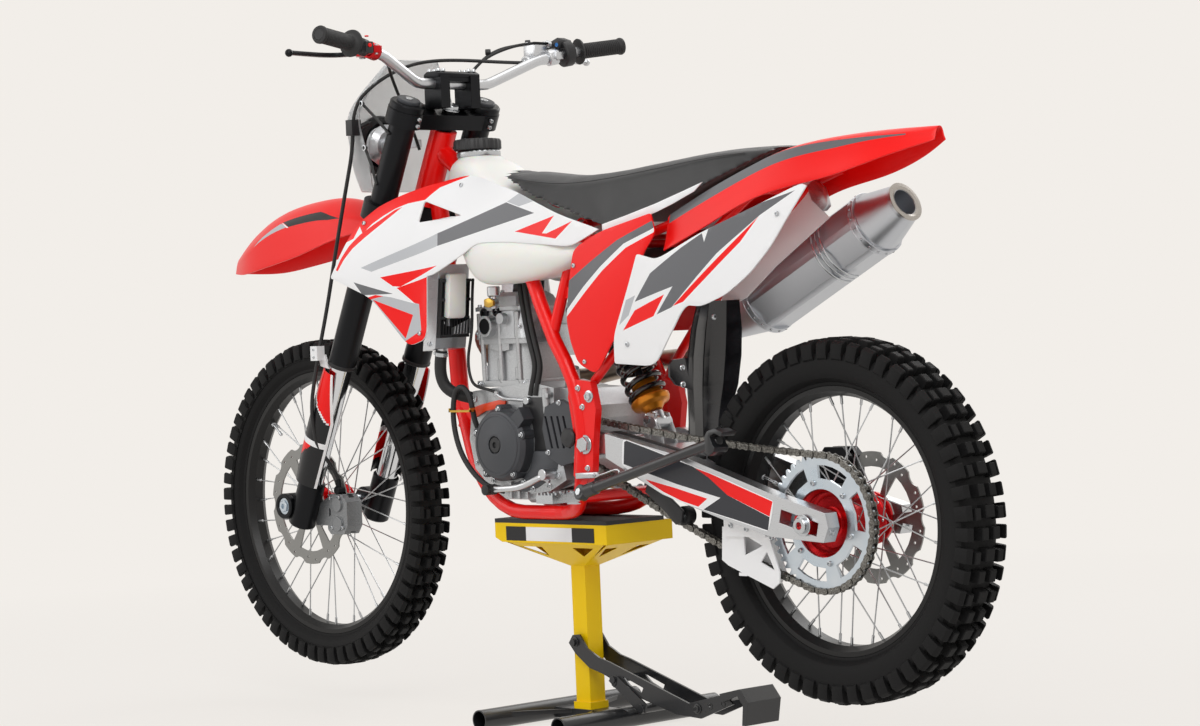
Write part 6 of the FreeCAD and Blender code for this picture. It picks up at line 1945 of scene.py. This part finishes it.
class BIKE_OT_controls(bpy.types.Operator):
    """Makes the grips, levers, perches, the throttle and their cables"""
    bl_idname = "bike.controls"
    bl_label = "Hand controls"

    def execute(self, context):
        bend, tip = Vector((984, 285, 935)), Vector((953, 402, 949))
        inward = (Vector((1002, 205, 918)) - bend).normalized()
        along = (tip - bend).normalized()

        def other(spot):
            return Vector((spot[0], -spot[1], spot[2]))

        profile = [(11.3, 0), (26.6, 0), (27.2, 1.2), (26.2, 4.4), (20, 6.2), (16.8, 8.6)]
        for k in range(19):
            rib = 12 + 4.4 * k
            profile += [(15.0, rib), (16.1, rib + 0.9), (16.1, rib + 3.0), (15.0, rib + 3.6)]
        profile += [(16.4, 97.5), (17.8, 99), (18, 103), (16.6, 106), (11.3, 106.4)]
        for name, spot, way in (("grip_left", bend + along * 16, along),
                                ("grip_right", other(bend + along * 16), other(along))):
            grip = lathe(name, profile, spot, way, "moulded_rubber", "steering", 40)
            if name == "grip_left":
                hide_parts("grips")
        ends = [drum(tip - along * 4, tip + along * 0.8, 11.2, 32, 0.8),
                drum(other(tip - along * 4), other(tip + along * 0.8), 11.2, 32, 0.8)]
        joined("bar_end_plugs", ends, "black_polypropylene", "steering")

        deck = [(998, 257), (1004, 228), (1016, 221), (1032, 228), (1036, 240), (1032, 250),
            (1018, 259)]
        clamp = [drum(bend + inward * 36, bend + inward * 60, 17, 40, 2), prism(deck, 916, 933, 2),
            brick((972, 232, 920), (984, 252, 934)), drum((1018, 224, 924), (1022, 206, 921), 8.5,
            18, 1.2)]
        perch = self.rounded("clutch_perch", clamp, "red_anodised_aluminium", 1.4)
        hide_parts("hand_controls")
        lever = [(1024, 238), (1046, 250), (1070, 262), (1080, 286), (1075, 326), (1066, 364),
            (1058, 392)]
        widths = (9, 8.5, 8, 7, 6, 5.4, 5)
        self.rounded("clutch_lever", [blade(lever, widths, 919, 928), ball((1057, 396, 923), 8)],
                     "black_anodised_aluminium", 2.0)
        joined("lever_bolts", [drum((1024, 240, 912), (1024, 240, 937), 6.5, 6, 0.8),
            drum((1024, -240, 912), (1024, -240, 937), 6.5, 6, 0.8), drum((978, 242, 917),
            (978, 242, 937), 3.6, 12, 0.6), drum((978, -242, 917), (978, -242, 937), 3.6, 12, 0.6),
            drum((1024, 206, 920.6), (1024, 196, 919), 4.6, 12, 0.8)], "bright_screw_steel",
            "steering")
        switch = [drum(bend + inward * 6, bend + inward * 26, 17, 36, 2), brick((962, 262, 918),
            (976, 280, 940))]
        self.rounded("left_switch", switch, "black_polypropylene", 2.0)
        joined("left_buttons", [drum((962.5, 271, 933), (959, 271, 933), 4, 20, 0.8),
            drum((976, 266, 950.5), (976, 266, 953.4), 4.2, 20, 0.8)], "red_polypropylene",
            "steering")

        right = [drum(other(bend + inward * 36), other(bend + inward * 60), 17, 40, 2),
            prism([(x, -y) for x, y in deck], 916, 931, 2), drum((1030, -256, 930),
            (1016, -184, 916), 12, 32, 2), brick((972, -252, 920), (984, -232, 934))]
        self.rounded("brake_cylinder", right, "satin_aluminium", 1.6)
        self.rounded("fluid_reservoir",
            [prism([(1001, -236), (1037, -236), (1037, -198), (1001, -198)], 922, 953, 2)],
            "satin_aluminium", 4.0)
        self.rounded("reservoir_lid",
            [prism([(999.5, -237.5), (1038.5, -237.5), (1038.5, -196.5), (999.5, -196.5)], 952,
            957, 2)], "black_anodised_aluminium", 1.6)
        screws("reservoir_screws", [((1007, -230, 957), (0, 0, 1)),
            ((1031, -204, 957), (0, 0, 1))], 3.0, 1.8, "steering")
        self.rounded("brake_lever", [blade([(x, -y) for x, y in lever], widths, 920, 929),
                                     ball((1057, -395, 924), 8)], "satin_aluminium", 2.0)
        housing = [drum((989, -261, 931), (984.5, -283.5, 934.7), 27, 56, 3),
            prism([(972, 944), (980, 960), (1000, 967), (1022, 960), (1026, 948), (1012, 934),
            (996, 926)], -282, -262), drum(other(bend + inward * 8), other(bend + inward * 22), 18,
            36, 2), brick((980, -262, 944), (1000, -246, 958))]
        self.rounded("throttle_housing", housing, "black_polypropylene", 2.0)
        joined("start_button", [drum((994, -262, 950), (994, -258.8, 950), 7.4, 28, 1.2),
            drum((984, -245.8, 950), (984, -243.4, 950), 4.4, 20, 0.8)], "button_plastic",
            "steering")
        joined("cable_ferrules", [drum((1018, -272, 944), (1036, -266, 951), 5.4, 20, 1),
            drum((1018, -266, 954), (1034, -260, 960), 5.4, 20, 1), drum((1016, -186, 916),
            (1014, -176, 914), 6, 20, 1)], "bright_screw_steel", "steering")
        pipe("throttle_cable_return", [(1020, -266, 955), (1060, -244, 964), (1106, -196, 952),
            (1134, -140, 916), (1122, -92, 858), (1112, -70, 800)], 3.2, "moulded_rubber",
            "steering")
        pipe("clutch_cable_upper", [(1022, 204, 920), (1034, 176, 914), (1070, 136, 910),
            (1116, 96, 896), (1134, 60, 850), (1126, 36, 790), (1112, 30, 740)], 3.2,
            "moulded_rubber", "steering")
        pipe("brake_line_upper", [(1015, -178, 914), (1040, -140, 916), (1100, -90, 926),
            (1146, -10, 926), (1160, 60, 900), (1172, 112, 866), (1188, 132, 838),
            (1194, 134, 802)], 3.6, "moulded_rubber", "steering")
        parts = []
        for spot in ((1072, -244, 962), (1124, -178, 946)):
            parts.append(drum((spot[0] - 4, spot[1] - 4, spot[2]), (spot[0] + 4, spot[1] + 4,
                                                                    spot[2]), 6.5, 16, 1))
        parts += [brick((1184, 122, 774), (1204, 146, 806)), drum((1190, 126, 790),
            (1180, 104, 800), 5, 16, 0.8)]
        self.rounded("cable_guides", parts, "black_polypropylene", 1.2)
        slab("bar_clamp_bridge", [(1012, 880), (1012, 888), (1022, 893), (1050, 893), (1060, 888),
            (1060, 880)], -55, 55, "black_anodised_aluminium", "steering", 2)
        return {"FINISHED"}

    def rounded(self, name, parts, finish, bevel):
        """One piece from several lists of faces, its edges rounded."""
        piece = outward(place(name, *merged(parts), finish, "steering"))
        return finished(bevelled(piece, bevel, 2, 40))


class BIKE_OT_fork_feet(bpy.types.Operator):
    """Makes the black fork feet, the hose clamps and the caliper's fittings"""
    bl_idname = "bike.fork_feet"
    bl_label = "Fork feet and caliper"

    def execute(self, context):
        parts, pinch = [], []
        for side in (1, -1):
            parts.append(fork_round(side, 848, 951, 28.4, 48, 3))
            parts.append(drum((1487, side * 79.6, 12.7), (1487, side * 121.4, 12.7), 27, 48, 2))
            parts.append(brick((1466, min(side * 84, side * 117), -16),
                               (1500, max(side * 84, side * 117), 2)))
            for y in (91, 110):
                pinch.append(((1462, side * y, -8), (-1, 0, 0)))
        feet = place("fork_feet", *merged(parts), "black_anodised_aluminium", "steering")
        finished(bevelled(outward(feet), 1.6, 2, 40))
        joined("axle_bosses", [lathe_points([(17.6, 0), (26, 0), (27, 1.5), (27, 11), (25, 13),
                                             (19, 13), (17.6, 11)], 48,
                                            (1487, side * 121, 12.7), (0, side, 0))
                               for side in (1, -1)], "black_anodised_aluminium", "steering")
        screws("pinch_screws", pinch, 4.2, 5, "steering")
        clamp = [brick((1330, 128, 318), (1352, 148, 348)),
            prism([(1318, 300), (1344, 306), (1350, 330), (1330, 330)], 124, 129)]
        joined("hose_clamp", clamp, "white_polypropylene", "steering")
        screws("hose_clamp_screws", [((1341, 148, 341), (0, 1, 0)), ((1341, 148, 325), (0, 1, 0))],
            3.0, 2.2, "steering")
        screws("caliper_screws", [((1384, 84.2, -34), (0, 1, 0)), ((1350, 84.2, -34), (0, 1, 0)),
            ((1358, 84.2, 30), (0, 1, 0)), ((1388, 84.2, 28), (0, 1, 0))], 4.4, 4.6, "steering")
        fitting = [drum((1366, 66, 44), (1366, 86, 44), 9, 28, 1.4),
            drum((1366, 76, 42), (1366, 78, 68), 5.6, 24, 1.6)]
        joined("caliper_banjo", fitting, "black_anodised_aluminium", "steering")
        pads = [prism([(1342, -20), (1350, -34), (1392, -34), (1398, -20), (1398, 14), (1388, 24),
            (1352, 24), (1342, 14)], 66, 68)]
        joined("front_pads", pads, "dark_cast_enamel", "steering")
        screws("rear_caliper_screws", [((x, -92.4, z), (0, -1, 0)) for x, z in (
            (54, 70), (102, 70), (108, 112), (56, 118))], 4.4, 4.6)
        return {"FINISHED"}


class BIKE_OT_rear_trim(bpy.types.Operator):
    """Adds the mud flap's screws, the inner guard and the strips under the seat"""
    bl_idname = "bike.rear_trim"
    bl_label = "Rear trim"

    def execute(self, context):
        screws("mud_flap_screws", [((329, -11, 374), (-1, 0, 0)), ((322.6, 84, 283), (-1, 0, 0)),
            ((322.6, 84, 252), (-1, 0, 0))], 6.4, 3.4)
        slab("inner_guard", [(113, 640), (103, 608), (103, 577), (69, 545), (208, 462), (285, 408),
            (349, 384), (356, 450), (330, 520), (256, 568), (150, 604)], -60, -57,
            "white_polypropylene", "frame", 0.8)
        slab("inner_bracket", [(110, 606), (100, 578), (72, 556), (60, 566), (70, 600), (92, 616)],
            -56.8, -44, "satin_aluminium", "frame", 3)
        heights = (440, 680)
        rows = ((490, 126, 128), (410, 124, 124), (340, 118.5, 118), (270, 111.5, 111),
            (209, 104, 103), (140, 94, 93), (90, 86, 84))
        depth = wall_depth(heights, [(x, (low, high)) for x, low, high in rows])
        outline = [(476, 556), (410, 570), (340, 587), (270, 607), (228, 620), (248, 604),
            (300, 584), (340, 571), (410, 552), (476, 536)]
        panel_pair("seat_strip", depth, outline, "white_polypropylene", 2.4, step=11,
                   soften=False)
        return {"FINISHED"}


class BIKE_OT_side_stand(bpy.types.Operator):
    """Makes the folded side stand, its foot and its spring hook"""
    bl_idname = "bike.side_stand"
    bl_label = "Side stand"

    def execute(self, context):
        pivot, foot = Vector((547, 141, 53)), Vector((170, 151, 152))
        along = (foot - pivot).normalized()
        axis = along.cross(Vector((0.1, 0.25, -0.96))).normalized()
        leg = [drum(pivot - axis * 9, pivot + axis * 9, 15, 40, 1.6),
               drum(pivot + along * 8, foot + along * 3, 10, 32, 2),
               drum(pivot + along * 10, pivot + along * 44, 13, 32, 4)]
        stand = joined("side_stand_leg", leg, "black_powder_coat", "side_stand")
        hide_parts("side_stand")
        slab("side_stand_foot", [(178, 170), (159, 175), (139, 168), (144, 160), (160, 166),
            (172, 161), (166, 146), (160, 140), (164, 132), (177, 125), (186, 132), (184, 146),
            (186, 160)], 134, 172, "black_powder_coat", "side_stand", 1.4)
        joined("side_stand_bolt", [drum(pivot - axis * 12, pivot + axis * 12, 7.5, 6, 0.8)],
               "bright_screw_steel", "side_stand")
        slab("spring_bracket", [(577, 89), (577, 78), (522, 80), (512, 84), (516, 91)], 125.6, 129,
            "bright_screw_steel", "frame", 0.8)
        screws("spring_bracket_screw", [((524, 129, 85.5), (0, 1, 0))], 4.0, 3.0)
        pipe("spring_hook", [(518, 127, 84), (504, 128, 87), (488, 128, 91), (468, 128, 97),
            (456, 128, 96), (456, 128, 88), (464, 128, 86)], 1.9, "bright_screw_steel", "frame")
        return {"FINISHED"}


class BIKE_OT_lift_stand(bpy.types.Operator):
    """Adds the lift stand's blank plate, bolts and caps"""
    bl_idname = "bike.lift_stand"
    bl_label = "Lift stand"

    def execute(self, context):
        slab("stand_plate", [(849, -22), (849, -49), (596, -49), (596, -22)], 70.1, 70.7,
             "white_film", "frame", 0)
        for name, x0, x1 in (("stand_plate_front", 849.4, 791), ("stand_plate_rear", 658, 595.6)):
            slab(name, [(x0, -21.6), (x0, -49.4), (x1, -49.4), (x1, -21.6)], 70.2, 71.0,
                 "black_film", "frame", 0, slot="stand_black")
        spots = [((x, 11.2, z), (0, 1, 0)) for x, z in ((728, -251), (617, -325), (544, -369),
            (394, -362))]
        screws("stand_bolts", spots, 7.4, 5.5, finish="black_powder_coat", hexagon=True,
            slot="stand_black")
        holes = []
        for x, z in ((360, -355), (326, -349)):
            holes.append(lathe_points([(4.2, 0), (6.4, 0), (6.0, 0.8), (4.2, 0.8)], 28,
                                      (x, 11.0, z), (0, 1, 0)))
        joined("stand_hole_rims", holes, "black_powder_coat", "frame", slot="stand_black")
        return {"FINISHED"}


class BIKE_PT_panel(bpy.types.Panel):
    """The bike's pieces in the sidebar"""
    bl_label = "Off-road bike"
    bl_idname = "BIKE_PT_panel"
    bl_space_type = "VIEW_3D"
    bl_region_type = "UI"
    bl_category = "Bike"

    def draw(self, context):
        scene = context.scene
        for settings in (scene.bike_view, scene.bike_colours, scene.bike_tread):
            for key in settings.__annotations__:
                self.layout.prop(settings, key)
        for operator in OPERATORS:
            self.layout.operator(operator.bl_idname)


OPERATORS = (BIKE_OT_stage, BIKE_OT_finishes, BIKE_OT_tyres, BIKE_OT_wheels, BIKE_OT_chain,
             BIKE_OT_seat, BIKE_OT_shrouds, BIKE_OT_side_covers, BIKE_OT_fenders, BIKE_OT_tank,
             BIKE_OT_fork, BIKE_OT_engine, BIKE_OT_cooling, BIKE_OT_suspension,
             BIKE_OT_exhaust, BIKE_OT_mask, BIKE_OT_controls, BIKE_OT_fork_feet,
             BIKE_OT_rear_trim, BIKE_OT_side_stand, BIKE_OT_lift_stand)
CLASSES = (BikeView, BikeColours, BikeTread) + OPERATORS + (BIKE_PT_panel,)


def register():
    """Adds the add-on's classes and settings."""
    for cls in CLASSES:
        bpy.utils.register_class(cls)
    bpy.types.Scene.bike_view = bpy.props.PointerProperty(type=BikeView)
    bpy.types.Scene.bike_colours = bpy.props.PointerProperty(type=BikeColours)
    bpy.types.Scene.bike_tread = bpy.props.PointerProperty(type=BikeTread)


def unregister():
    """Takes them away again."""
    del bpy.types.Scene.bike_tread
    del bpy.types.Scene.bike_colours
    del bpy.types.Scene.bike_view
    for cls in reversed(CLASSES):
        bpy.utils.unregister_class(cls)


def main():
    """Builds everything."""
    register()
    for operator in OPERATORS:
        group, name = operator.bl_idname.split(".")
        getattr(getattr(bpy.ops, group), name)()


if __name__ == "__main__":
    main()
